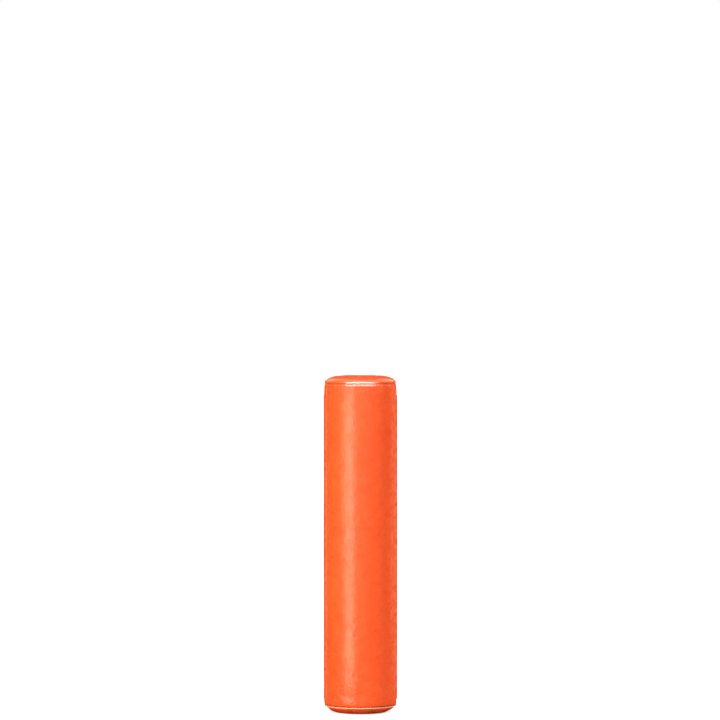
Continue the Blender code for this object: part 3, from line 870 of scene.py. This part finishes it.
def linerSection():
    corner, bore = pad["corner"], pad["bore"]
    # where the bore's soft corners leave the flat faces, and the angle at which the bore takes over
    (leftX, leftDip), (rightX, rightDip) = (
        (math.sqrt((bore + corner) ** 2 - (face + corner) ** 2), math.asin((face + corner) / (bore + corner)))
        for face in (leftFace, rightFace)
    )
    shares = np.linspace(0, 1, 6)[1:-1]
    edge = zipLook["x"] - zipLook["channelHalf"] - zipLook["soft"]
    return [
        *[(False, lambda z, outer, a=a: (-outer + a * (outer - leftX), -leftFace)) for a in np.linspace(0, 1, 22)],
        *arcColumns(-leftX, -leftFace - corner, corner, math.pi / 2 - shares * (math.pi / 2 - leftDip)),
        *arcColumns(0.0, 0.0, bore, np.linspace(math.pi + leftDip, 2 * math.pi - rightDip, 48)),
        *arcColumns(rightX, -rightFace - corner, corner, math.pi - rightDip - shares * (math.pi / 2 - rightDip)),
        *[(False, lambda z, outer, a=a: (rightX + a * (edge - rightX), -rightFace)) for a in np.linspace(0, 1, 10)],
        *channelColumns(-1),
    ]


def facingSection():
    edge = zipLook["x"] + zipLook["channelHalf"] + zipLook["soft"]
    face = [(False, lambda z, outer, a=a: (outer + a * (edge - outer), -rightFace)) for a in np.linspace(0, 1, 8)]
    return (face + channelColumns(1))[::-1]


def makeLiner(name, section, seed, inset=0.008):
    # the rows follow the caps' outline
    share = np.linspace(0, 1, 240)
    nominal = 0.0145 + share * (pad["height"] - 0.029)
    order = wallRun[:, 1].argsort()
    outer = np.interp(nominal, wallRun[order, 1], wallRun[order, 0]) - inset
    columns = []
    for inBore, column in section:
        x = np.maximum(np.abs(column(nominal, outer)[0]), pad["bore"])
        low, high = bottomOf(x) + inset, topOf(x) - inset
        if inBore:
            low, high = pad["lip"] + inset, pad["height"] - pad["lip"] - inset
        z = low + share * (high - low)
        columns.append(stacked(*column(z, outer), z))
    points = np.stack(columns, axis=1)[:, ::-1]  # so that the faces look out of the parting face and into the bore
    across, along = roundLength(points), points[..., 2]
    normals = np.cross(np.gradient(points, axis=1), np.gradient(points, axis=0))
    normals /= np.maximum(np.linalg.norm(normals, axis=2), 1e-12)[..., None]
    swell = ripple(across, along, 0.00045, 0, 0, 0.03, 0.06, seed)
    swell += ripple(across, along, 0.0003, 1, -1, 0.016, 0.03, seed + 1)
    # never past the parting plane's side or down to the zip's tape, and still at the edges
    lowest = np.where(np.abs(points[..., 0] - zipLook["x"]) < zipLook["channelHalf"], -0.0001, -0.0005)
    still = smoothStep(fromEdge(points.shape[1]) / 3.0)
    points = points + (np.clip(swell, lowest, 0.0005) * still)[..., None] * normals
    return sheetPiece(name, points, across, along)


bothHalves(makeLiner("frontLiner", linerSection(), 51), "linerVinyl", "inner_panel")
bothHalves(makeLiner("frontZipFacing", facingSection(), 53), "linerVinyl", "zip_facing")
print("liners ready")

# foam core, hidden inside the covers
foamLook = {
    "inset": 0.0042, "row": 0.02, "endRow": 0.006, "columns": 56, "corner": 0.004, "faceY": 0.0055,
    "channel": (0.052, 0.023), "channelY": -0.0105, "channelLow": 0.033, "channelHigh": 1.791,
}


def makeFoam(name):
    s = gradedRows(pad["tuck"], runEnd - pad["tuck"], foamLook["row"], foamLook["endRow"], 0.05)
    outside, _ = halfShell(
        s, foamLook["columns"], inset=foamLook["inset"], lap=0.001, corner=foamLook["corner"],
        faceY=foamLook["faceY"], filletCount=3, lapCount=1)
    rows, cols = outside.shape[:2]
    starts = [i * cols for i in range(rows)]
    faces = [  # the last row goes down the bore to the first
        (i + k, i + k + 1, following + k + 1, following + k)
        for i, following in zip(starts, starts[1:] + [0]) for k in range(cols - 1)
    ]
    faces += [tuple(starts), tuple(i + cols - 1 for i in starts)[::-1]]
    piece = meshPiece(name, outside.reshape(-1, 3), faces)
    with editing(piece):
        bpy.ops.mesh.quads_convert_to_tris(quad_method="BEAUTY", ngon_method="BEAUTY")
        bpy.ops.mesh.normals_make_consistent(inside=False)
    clearSelection()
    low, high = foamLook["channelLow"], foamLook["channelHigh"]
    bpy.ops.mesh.primitive_cube_add(
        size=1, location=(zipLook["x"], foamLook["channelY"], (low + high) / 2),
        scale=(*foamLook["channel"], high - low))
    cutOut(piece, bpy.context.object)
    return piece


bothHalves(makeFoam("frontFoam"), "foamCells", "foam_core", smooth=30)
print("foam ready")

# closures: hinge strip at -X, flap at +X with its two tapes
hingeLook = {"hem": 0.014, "hemRise": 0.0007, "rows": (0.0035, 0.0105)}
tapeLook = {
    "width": 0.048, "fromEdge": 0.007, "lowZ": 0.083, "highZ": 1.709, "thickness": 0.0013,
    "hookRadius": 0.1978, "loopRadius": 0.1994,
}
tapeEnd = flapLook["high"] - tapeLook["fromEdge"]
tapeStart = tapeEnd - tapeLook["width"]


def hemRise(look, sideGap, z):
    # a doubled edge: full rise at the edge, stepping down at the hem's width
    gaps = (sideGap, np.minimum(z - z[0], z[-1] - z)[:, None])
    return np.maximum(*[look["hemRise"] * smoothStep((look["hem"] - gap) / 0.0025) for gap in gaps])


def spaced(low, high, count, lowOffsets, highOffsets):
    # even places, with a few closer ones at the edges
    places = [*np.linspace(low, high, count), *[low + gap for gap in lowOffsets], *[high - gap for gap in highOffsets]]
    return np.unique(np.round(places, 5))


def closureRows(hem):
    gaps = (0.0008, hem - 0.003, hem - 0.0015, hem, hem + 0.0015)
    return spaced(stripLow, stripHigh, int((stripHigh - stripLow) / 0.009) + 1, gaps, gaps)


def makeHingeStrip():
    width = 2 * stripLook["reach"] * stripLook["radius"]
    gaps = (0.0008, 0.0115, 0.0130, 0.0145, 0.016)
    across = spaced(-width / 2, width / 2, 29, gaps, gaps)
    across = np.unique(np.concatenate([across, np.round(np.linspace(-0.006, 0.006, 13), 5)]))
    # from the front half to the rear one, so that the outside is the grid's face
    angles = math.pi - across / stripLook["radius"]
    z = closureRows(hingeLook["hem"])
    grid, heights = np.meshgrid(across, z)
    sideGap = width / 2 - np.abs(across)[None, :]
    wave = ripple(grid, heights, 0.0003 * near(sideGap - 0.007, 0.006), 0, 0.6, 0.02, 0.013, 61)
    wave += ripple(grid, heights, 0.0004 * fade(sideGap, 0.02, 0.02), 0, 0, 0.05, 0.09, 62)
    radius = stripLook["radius"] + pad["vinyl"] + hemRise(hingeLook, sideGap, z) + np.maximum(wave, -0.0001)
    points = around(radius, angles, heights)[:, ::-1]
    piece = finishPiece(sheetPiece("hingeStrip", points, grid[:, ::-1], heights), "stripVinyl", smooth=60)
    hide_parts("front_hinge_leaf", "rear_hinge_leaf")
    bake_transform(piece)


def flapRadius(angle):
    share = fade(angle, flapLook["rampEnd"] - flapLook["rampWidth"], flapLook["rampWidth"])
    return stripLook["radius"] + share * (flapLook["outerRadius"] - stripLook["radius"])


def makeFlap():
    across = spaced(
        flapLook["low"], flapLook["high"], 38, (0.0008, 0.002, 0.005, 0.008, 0.0095, 0.011, 0.014),
        (0.0004, 0.0012, 0.0025, 0.005, 0.0105, 0.012, 0.0135, 0.015))
    z = closureRows(flapLook["hem"])
    fromSewn, fromFree = across - across.min(), across.max() - across
    corner = flapLook["cornerRound"]
    cut = np.where(fromFree < corner, corner - np.sqrt(np.maximum(corner**2 - (corner - fromFree) ** 2, 0)), 0.0)
    share = (z - z[0]) / (z[-1] - z[0])
    heights = (z[0] + cut)[None, :] + share[:, None] * (z[-1] - z[0] - 2 * cut)[None, :]
    grid = np.broadcast_to(across, heights.shape)
    hem = hemRise(flapLook, fromFree[None, :], z)
    sewn = flapLook["ridge"] * smoothStep((0.011 - fromSewn) / 0.003)
    wave = ripple(grid, heights, 0.0006 * near(fromSewn - 0.010, 0.010), 0, 0.9, 0.125, 0.018, 71)
    free = fade(fromSewn, 0.02, 0.02) * smoothStep((tapeStart - 0.003 - across) / 0.015)  # flat at the tape
    wave += ripple(grid, heights, 0.0006 * free, 0, 0.3, 0.045, 0.085, 72)
    angles = across / pad["radius"]
    radius = flapRadius(angles) + pad["vinyl"] + np.maximum(hem, sewn) + np.maximum(wave, -0.0002)
    piece = sheetPiece("closureFlap", around(radius, angles, heights), grid, heights)
    finishPiece(piece, "stripVinyl", smooth=60)
    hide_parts("closure_flap")
    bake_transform(piece)


def makeTape(name, radius, finish, node, body, seed, facing):
    # facing is 1 where the pile looks outwards and -1 where it looks in
    across = np.linspace(tapeStart, tapeEnd, 17)
    grid, heights = np.meshgrid(across, np.linspace(tapeLook["lowZ"], tapeLook["highZ"], 221))
    selvage = smoothStep(np.minimum(across - across[0], across[-1] - across) / 0.0035)
    pile = 0.00025 * (selvage - 1) + ripple(grid, heights, 0.00012 * selvage, 0, 0, 0.006, 0.02, seed)
    surface = radius + (tapeLook["thickness"] if facing > 0 else 0.0) + facing * pile
    points = around(surface, grid / pad["radius"], heights)
    piece = sheetPiece(name, points, grid, heights, tapeLook["thickness"], offset=-facing)
    finishPiece(piece, finish, smooth=40)
    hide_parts(node)
    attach(piece, body)


makeHingeStrip()
makeFlap()
makeTape("hookTape", tapeLook["hookRadius"], "hookNap", "rear_hook_tape", "rear_shell", 81, 1)
makeTape("loopTape", tapeLook["loopRadius"], "loopNap", "flap_loop_tape", "closure_flap", 82, -1)
print("closures ready")

# stitches: one is modelled, then laid along each row; a bold one has a flat face that leans back
fineLook = {"length": 0.0078, "width": 0.0018, "height": 0.0014, "lean": 0, "sink": 0.45}
boldLook = {"length": 0.0150, "width": 0.0033, "height": 0.0026, "lean": 14, "sink": 0.3, "bevel": 0.0009}
tickLook = {"length": 0.0100, "width": 0.0046, "height": 0.0014, "lean": -18, "sink": 0.3, "bevel": 0.0009}


def takeTemplate(piece):
    # vertices and faces of a modelled shape, which is then taken out of the scene
    vertices = np.array([vertex.co[:] for vertex in piece.data.vertices])
    faces = [tuple(polygon.vertices) for polygon in piece.data.polygons]
    removed(piece)
    return vertices, faces


def modelStitch(look):
    clearSelection()
    if "bevel" in look:
        bpy.ops.mesh.primitive_cube_add(size=1)
    else:
        bpy.ops.mesh.primitive_uv_sphere_add(segments=6, ring_count=4, radius=0.5)
    stitch = bpy.context.object
    with editing(stitch):
        if "bevel" not in look:
            bpy.ops.transform.rotate(value=math.pi / 2, orient_axis="Y", center_override=(0, 0, 0))
        size = (look["length"], look["width"], look["height"])
        bpy.ops.transform.resize(value=size, center_override=(0, 0, 0))
        if "bevel" in look:
            bpy.ops.mesh.bevel(offset=look["bevel"], segments=1, affect="EDGES")
    lean = math.tan(math.radians(look["lean"]))
    for vertex in stitch.data.vertices:  # both ends go down into the vinyl
        toEnd = 2 * vertex.co.x / look["length"]
        vertex.co.z -= lean * vertex.co.y + look["sink"] * look["height"] * toEnd**2
    return takeTemplate(stitch)


def copyAlong(name, template, places, along, out, uneven=0.0):
    # one copy of the template per place, its X along and its Z outwards; uneven varies their lengths
    vertices, faces = template
    stretch = 1 + uneven * np.random.default_rng(5).uniform(-1, 1, (len(places), 1, 1))
    along = unit(along)
    out = unit(out - (out * along).sum(1)[:, None] * along)
    x, y, z = (vertices[None, :, k:k + 1] for k in range(3))
    copies = places[:, None] + stretch * x * along[:, None] + y * np.cross(out, along)[:, None] + z * out[:, None]
    starts = range(0, len(places) * len(vertices), len(vertices))
    copiedFaces = [tuple(i + start for i in face) for start in starts for face in faces]
    return meshPiece(name, copies.reshape(-1, 3), copiedFaces)


# each kind: the modelled stitch, its pitch and how much the lengths vary
fineStitch = (modelStitch(fineLook), 0.0105, 0.08)
boldStitch = (modelStitch(boldLook), 0.0225, 0.3)
tickStitch = (modelStitch(tickLook), 0.0150, 0.08)


def stitchPlaces(path, out, pitch, lift=0.00015):
    # evenly spaced places along a line of points
    length = lengthAlong(path)
    count = max(int(length[-1] / pitch), 1)
    spots = (np.arange(count) + 0.5) * length[-1] / count
    normal = unit(pointsAt(spots, length, out))
    along = pointsAt(spots + 0.0005, length, path) - pointsAt(spots - 0.0005, length, path)
    return pointsAt(spots, length, path) + lift * normal, along, normal


def stitchRows(name, rows, stitch=fineStitch):
    template, pitch, uneven = stitch
    places, along, out = (np.concatenate(parts) for parts in zip(*[stitchPlaces(*row, pitch) for row in rows]))
    return copyAlong(name, template, places, along, out, uneven)


def ringRow(s):
    points, normals = halfShell(np.array([s]), 200, inset=0.0006, lap=0.001, filletCount=1, lapCount=1)
    return points[0, 2:-2], normals[0, 2:-2]


def outlineRows():
    # down the turned-over laps of both parting faces, following the pad's outline
    points, normals = halfShell(np.linspace(0.030, runEnd - 0.030, 700), 3, lap=0.0055, lapCount=1)
    return [(points[:, column], normals[:, column]) for column in (0, -1)]


def rowOn(radius, angle, z):
    points = around(radius, angle, z)
    return points, unit(points * [1, 1, 0])


def upright(radius, angle, low, high):
    return rowOn(radius, angle, np.linspace(low, high, 60))


topRow, baseRow = ringRow(seamHigh - coverLook["topStitch"]), ringRow(seamLow + coverLook["baseStitch"])
bothHalves(stitchRows("frontTopStitches", [topRow], boldStitch), "glossThread", smooth=35)
# the base row's dark ticks are painted shade
bothHalves(stitchRows("frontBaseStitches", [baseRow], tickStitch), "redThread", smooth=35)
bothHalves(stitchRows("frontLapStitches", outlineRows()), "stitchThread", smooth=180)

hemRadius = stripLook["radius"] + pad["vinyl"] + hingeLook["hemRise"]
for side, sign in (("front", 1), ("rear", -1)):
    angles = [math.pi + sign * (stripLook["reach"] - gap / stripLook["radius"]) for gap in hingeLook["rows"]]
    rows = [upright(hemRadius, angle, stripLow + 0.003, stripHigh - 0.003) for angle in angles]
    stitches = finishPiece(stitchRows(side + "HingeStitches", rows), "hingeThread", smooth=180)
    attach(stitches, side + "_shell")
ends = np.linspace(math.pi - stripLook["reach"] + 0.02, math.pi + stripLook["reach"] - 0.02, 60)
rows = [rowOn(hemRadius, ends, z) for z in (stripLow + 0.0105, stripHigh - 0.0105)]
stitches = finishPiece(stitchRows("hingeEndStitches", rows), "hingeThread", smooth=180)
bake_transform(stitches)

sewnRadius = stripLook["radius"] + pad["vinyl"] + flapLook["ridge"]
angles = [(flapLook["low"] + gap) / pad["radius"] for gap in (0.003, 0.0085)]
rows = [upright(sewnRadius, angle, stripLow + 0.003, stripHigh - 0.003) for angle in angles]
stitches = finishPiece(stitchRows("flapSewnStitches", rows), "closureThread", smooth=180)
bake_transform(stitches)
hemOut = pad["vinyl"] + flapLook["hemRise"]
freeEdge, innerEdge = (place / pad["radius"] for place in (flapLook["high"] - 0.0105, tapeStart + 0.002))
overTape = flapRadius(innerEdge - 0.002 / pad["radius"]) + pad["vinyl"]
across = np.linspace(-0.050, 0.073, 60) / pad["radius"]
rows = [
    upright(flapRadius(freeEdge) + hemOut, freeEdge, stripLow + 0.012, stripHigh - 0.012),
    upright(overTape, innerEdge, tapeLook["lowZ"], tapeLook["highZ"]),
    *[rowOn(flapRadius(across) + hemOut, across, z) for z in (stripLow + 0.0095, stripHigh - 0.0095)],
]
stitches = finishPiece(stitchRows("flapHemStitches", rows), "closureThread", smooth=180)
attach(stitches, "closure_flap")
print("stitches ready")

# zips: woven tapes, coil, stops, slider and pull
x0, y0 = zipLook["x"], zipLook["y"]
coilLook = {"bar": 0.00052, "length": 0.0040, "head": 2.2, "pitch": 0.0026, "low": 0.060, "high": 1.764, "x": 0.0017}


def zipTape(name, side):
    x = np.sort(x0 + side * (zipLook["gap"] + np.linspace(0, zipLook["tapeWidth"], 9)))
    grid, heights = np.meshgrid(x, np.linspace(0.046, 1.778, 320))
    y = y0 + zipLook["tapeThickness"] / 2 + ripple(grid, heights, 0.0001, 0, 0, 0.01, 0.02, 91)
    points = stacked(grid, y, heights)[:, ::-1]  # the woven side looks out of the parting face
    return sheetPiece(name, points, grid, heights, zipLook["tapeThickness"])


def modelTooth():
    # one turn of the coil: a short round bar with a thicker head
    clearSelection()
    bpy.ops.mesh.primitive_cylinder_add(
        vertices=6, radius=coilLook["bar"], depth=coilLook["length"], end_fill_type="NGON")
    tooth = bpy.context.object
    with editing(tooth):
        bpy.ops.transform.rotate(value=math.pi / 2, orient_axis="Y", center_override=(0, 0, 0))
        bpy.ops.transform.resize(value=(1, 1, coilLook["head"]), center_override=(0, 0, 0))
    return takeTemplate(tooth)


toothTemplate = modelTooth()


def zipCoil(name, side):
    pitch = coilLook["pitch"]
    z = np.arange(coilLook["low"], coilLook["high"], pitch) + (pitch / 2 if side > 0 else 0)
    along, out = (np.tile(vector, (len(z), 1)) for vector in ([float(side), 0.0, 0.12], [0.0, 1.0, 0.0]))
    return copyAlong(name, toothTemplate, stacked(x0 + side * coilLook["x"], y0, z), along, out)


for side, part, node in ((-1, "Inner", "zip_tape_inner"), (1, "Outer", "zip_tape_outer")):
    for tape in bothHalves(zipTape(f"front{part}ZipTape", side), "zipWeave", node):
        foam = tape.name.split(part)[0] + "Foam"
    bothHalves(zipCoil(f"front{part}Coil", side), "coilNylon", smooth=60)


def block(halfWidth, y, z, bevel, segments=2, x=0.0):
    # a block with its edges rounded: x and y are measured from the zip's middle
    ends = [np.array([x0 + x + side * halfWidth, y0 + y[k], z[k]]) for k, side in ((0, -1), (1, 1))]
    clearSelection()
    bpy.ops.mesh.primitive_cube_add(size=1, location=(ends[0] + ends[1]) / 2, scale=ends[1] - ends[0])
    applyPlace()
    piece = bpy.context.object
    with editing(piece):
        bpy.ops.mesh.bevel(offset=bevel, segments=segments, affect="EDGES")
    return piece


def joined(name, pieces):
    clearSelection()
    for piece in pieces:
        piece.select_set(True)
    bpy.context.view_layer.objects.active = pieces[0]
    bpy.ops.object.join()
    return named(pieces[0], name)


stopLook = {
    "half": 0.0039, "y": (0.0016, 0.0029), "tall": 0.006, "bevel": 0.0005,
    "ribHalf": 0.0036, "ribY": (0.0024, 0.0032), "rib": 0.0005, "ribBevel": 0.0002, "ribsAt": (0.0018, 0.0042),
}


def makeStop(name, low):
    # a folded metal clip over both coils, with two pressed ribs
    clip = block(stopLook["half"], stopLook["y"], (low, low + stopLook["tall"]), stopLook["bevel"], 3)
    reach = stopLook["rib"]
    return joined(name, [clip] + [
        block(stopLook["ribHalf"], stopLook["ribY"], (low + rib - reach, low + rib + reach), stopLook["ribBevel"])
        for rib in stopLook["ribsAt"]
    ])


sliderLook = {
    "half": 0.0055, "length": 0.016, "z": 0.0693, "front": 0.0029, "plate": 0.0013,
    "tail": 0.74,  # the tail is narrower than the shoulders
    "bridgeY": (0.0052, 0.0064), "bridge": 0.00425, "bridgeHalf": 0.0011, "foot": 0.0008,
    "bevel": 0.0004, "fineBevel": 0.0003,
    "lip": 0.0006, "lipIn": 0.0007, "lipLow": 0.006,  # the side lips that hold the coils in
}


def makeSlider(name):
    middle, half, front = sliderLook["z"], sliderLook["half"], sliderLook["front"]
    low, high = middle - sliderLook["length"] / 2, middle + sliderLook["length"] / 2
    inside = front - sliderLook["plate"]
    lip, lipIn, foot = sliderLook["lip"], sliderLook["lipIn"], sliderLook["foot"]
    parts = []
    for sign in (1, -1):
        body = block(half, sorted((sign * inside, sign * front)), (low, high), sliderLook["bevel"])
        for vertex in body.data.vertices:
            share = float(smoothStep((vertex.co.z - low) / (high - low) * 1.6))
            vertex.co.x = x0 + (vertex.co.x - x0) * (sliderLook["tail"] + (1 - sliderLook["tail"]) * share)
        parts.append(body)
        lipY = sorted((sign * lipIn, sign * (inside + 0.0002)))
        for x in (lipIn - half, half - lipIn):
            parts.append(block(lip, lipY, (low + sliderLook["lipLow"], high - lip), sliderLook["fineBevel"], x=x))
    parts.append(block(lip, (-0.002, 0.002), (high - 0.006, high - 0.001), 0.0002))  # the wedge between the coils
    # bridge over the front plate that holds the pull
    reach, wide, (under, top) = sliderLook["bridge"], sliderLook["bridgeHalf"], sliderLook["bridgeY"]
    parts.append(block(wide, (under, top), (middle - reach, middle + reach), sliderLook["bevel"], 3))
    for z in (middle - reach + foot, middle + reach - foot):
        parts.append(block(wide, (0.0026, under + 0.0004), (z - foot, z + foot), sliderLook["fineBevel"]))
    return joined(name, parts)


pullLook = {
    "y": 0.00405, "barZ": 0.06775, "bar": 0.0008, "length": 0.028, "half": 0.00425, "thick": 0.0013,
    "eyeHalf": 0.0016, "eyeTall": 0.0045, "border": 0.00185, "pressed": 0.00045, "softEdge": 0.00018,
}


def makePull(name):
    # a flat tab with a round end, an eye for the bridge and a pressed border
    y, barZ, half = pullLook["y"], pullLook["barZ"], pullLook["half"]
    top = barZ + pullLook["bar"]
    bottom = top - pullLook["length"]
    clearSelection()
    bpy.ops.mesh.primitive_cylinder_add(
        vertices=32, radius=half, depth=pullLook["thick"], location=(x0, y0 + y, bottom + half),
        rotation=(math.pi / 2, 0, 0))
    tab = bpy.context.object
    applyPlace()
    for vertex in tab.data.vertices:  # the upper half of the disc is drawn out to the bar
        if vertex.co.z > bottom + half + 0.0001:
            share, aside = (vertex.co.z - bottom - half) / half, vertex.co.x - x0
            if abs(aside) > 1e-5:
                aside = math.copysign(min(abs(aside) + half * 0.6 * share, half), aside)
            else:
                aside = 0.0
            vertex.co.x = x0 + aside
            vertex.co.z = top - (1 - share) * 0.0015 if share > 0.2 else top - 0.0022
    eyeTop = barZ - pullLook["bar"]
    eye = block(pullLook["eyeHalf"], (y - 0.004, y + 0.004), (eyeTop - pullLook["eyeTall"], eyeTop), 0.0006)
    cutOut(tab, eye)
    panelY, panelZ = (y + pullLook["pressed"], y + 0.002), (bottom + 0.004, barZ - 0.0085)
    cutOut(tab, block(half - pullLook["border"], panelY, panelZ, 0.0009, 3))
    return applyModifier(
        named(tab, name), "BEVEL", width=pullLook["softEdge"], segments=2, limit_method="ANGLE",
        angle_limit=math.radians(50))


for make, call, node, body in (
    (makeStop, ("frontBottomStop", zipLook["lowZ"]), "zip_bottom_stop", "shell"),
    (makeStop, ("frontTopStop", zipLook["highZ"] - stopLook["tall"]), "zip_top_stop", "shell"),
    (makeSlider, ("frontSlider",), "zip_slider", "slider"),
    (makePull, ("frontPull",), "zip_pull", "pull"),
):
    bothHalves(make(*call), "nickelPlate", node, smooth=40, body=body)

z = np.linspace(0.056, 1.768, 80)
rows = []
for sign in (-1, 1):
    line = stacked(x0 + sign * (zipLook["slotHalf"] + 0.0035), -(rightFace + zipLook["depth"]), z)
    rows.append((line, np.tile([0.0, 1.0, 0.0], (80, 1))))
bothHalves(stitchRows("frontZipStitches", rows), "linerThread", smooth=180)
print("zips ready")

# any CAD node still shown gets its finish too
finishOfSlot = {
    "vinyl_orange": "orangeVinyl", "vinyl_liner": "linerVinyl", "foam": "foamCells", "hook_and_loop": "loopNap",
    "zip_tape": "coilNylon", "zip_metal": "nickelPlate",
}
for row in frame["record"]["subparts"]:
    for slot in frame["nodes"][row["node"]].material_slots:
        slot.material = finishes[finishOfSlot[row["material_slot"]]]

# floor, world, lights and camera
studio = {
    "floor": 60.0, "floorBounce": (0.42, 0.40, 0.38), "floorGloss": (0.015, 0.015, 0.015), "floorGlow": 0.5,
    "worldLight": 0.90, "worldGloss": 0.015, "skyGloss": 0.12,
    "camera": (-0.0018, -25.0, 2.715), "pitch": 1.837, "lens": 230.4,
    "aim": (0, 0, 0.95), "warm": (1.0, 0.87, 0.64), "white": (1.0, 1.0, 1.0),
}


def floorSurface(g):
    rays = g.node("LightPath")
    seen = rays["Is Camera Ray"]
    pale = g.mix(g.noise(g.place(), 0.7, 4.0), (0.92, 0.92, 0.92), (0.95, 0.95, 0.95))
    other = g.mix(rays["Is Glossy Ray"], studio["floorBounce"], studio["floorGloss"])
    return {
        "Base Color": g.mix(seen, other, pale), "Roughness": 0.9, "Specular IOR Level": 0.0,
        "Emission Color": studio["white"], "Emission Strength": g.times(seen, studio["floorGlow"]),
    }, None, 0.0


clearSelection()
bpy.ops.mesh.primitive_plane_add(size=2 * studio["floor"], location=(0, 0, -0.0005))
applyPlace()
floor = bpy.context.object
floor.name = "studioFloor"
floor.data.materials.append(newMaterial("paleFloor", floorSurface))

world = bpy.data.worlds.new("studioWorld")
bpy.context.scene.world = world
world.use_nodes = True
g = Graph(world.node_tree)
rays = g.node("LightPath")
upward = g.axes(g.node("TexCoord")["Generated"])["Z"]
# what the vinyl mirrors is dark at its own height and pale overhead
lift = studio["worldLight"]
sky = g.spread(upward, 0.18, 0.5, studio["worldGloss"] - lift, studio["skyGloss"] - lift)
light = g.maths("MAXIMUM", g.plus(g.times(sky, rays["Is Glossy Ray"]), lift), rays["Is Camera Ray"])
g.fill(g.tree.nodes["Background"].inputs, {"Color": studio["white"], "Strength": light})


def areaLight(name, azimuth, distance, height, width, tall, power, gloss, tint):
    # azimuth is measured from the camera's side, positive to its right
    turn = math.radians(azimuth)
    place = Vector((distance * math.sin(turn), -distance * math.cos(turn), height))
    light = bpy.data.lights.new(name, "AREA")
    light.shape, light.size, light.size_y, light.energy = "RECTANGLE", width, tall, power
    light.color = studio[tint]
    lamp = bpy.data.objects.new(name, light)
    bpy.context.scene.collection.objects.link(lamp)
    lamp.location = place
    lamp.rotation_euler = (Vector(studio["aim"]) - place).to_track_quat("-Z", "Y").to_euler()
    lamp.visible_camera = False
    lamp.visible_glossy = gloss  # a gloss light shows only as a reflection, and any other one never does
    lamp.visible_diffuse = not gloss


for lamp in (
    ("softKey", -39, 3.2, 0.9, 0.85, 3.0, 96, False, "warm"),
    ("keyGloss", -32, 1.5, 0.98, 0.64, 1.95, 27, True, "warm"),
    ("keyFoot", -32, 1.5, 0.14, 0.64, 0.26, 4, True, "warm"),
    ("glossBar", 2, 3.2, 4.9, 8.0, 2.0, 900, True, "white"),
    ("overBar", 180, 0.6, 7.5, 8.0, 1.6, 210, True, "warm"),
    ("leftBackBar", -150, 6.0, 5.7, 1.2, 4.5, 110, True, "warm"),
    ("rightBackBar", 150, 6.0, 5.7, 1.2, 4.5, 110, True, "warm"),
    ("topFill", 0, 0.6, 5.0, 3.0, 3.0, 75, False, "white"),
    ("frontFill", 10, 6.0, 0.8, 3.0, 3.0, 40, False, "white"),
    ("leftFill", -110, 4.0, 0.9, 1.5, 2.6, 16, False, "white"),
    ("rightFill", 131, 4.0, 0.9, 1.5, 2.6, 175, False, "white"),
):
    areaLight(*lamp)

cameraData = bpy.data.cameras.new("photoCamera")
camera = bpy.data.objects.new("photoCamera", cameraData)
bpy.context.scene.collection.objects.link(camera)
cameraData.sensor_width, cameraData.lens, cameraData.clip_end = 36.0, studio["lens"], 400.0
camera.location = studio["camera"]
camera.rotation_euler = (math.radians(90 - studio["pitch"]), 0, 0)
bpy.context.scene.camera = camera
bpy.context.scene.view_settings.view_transform = "Standard"
print("studio ready")
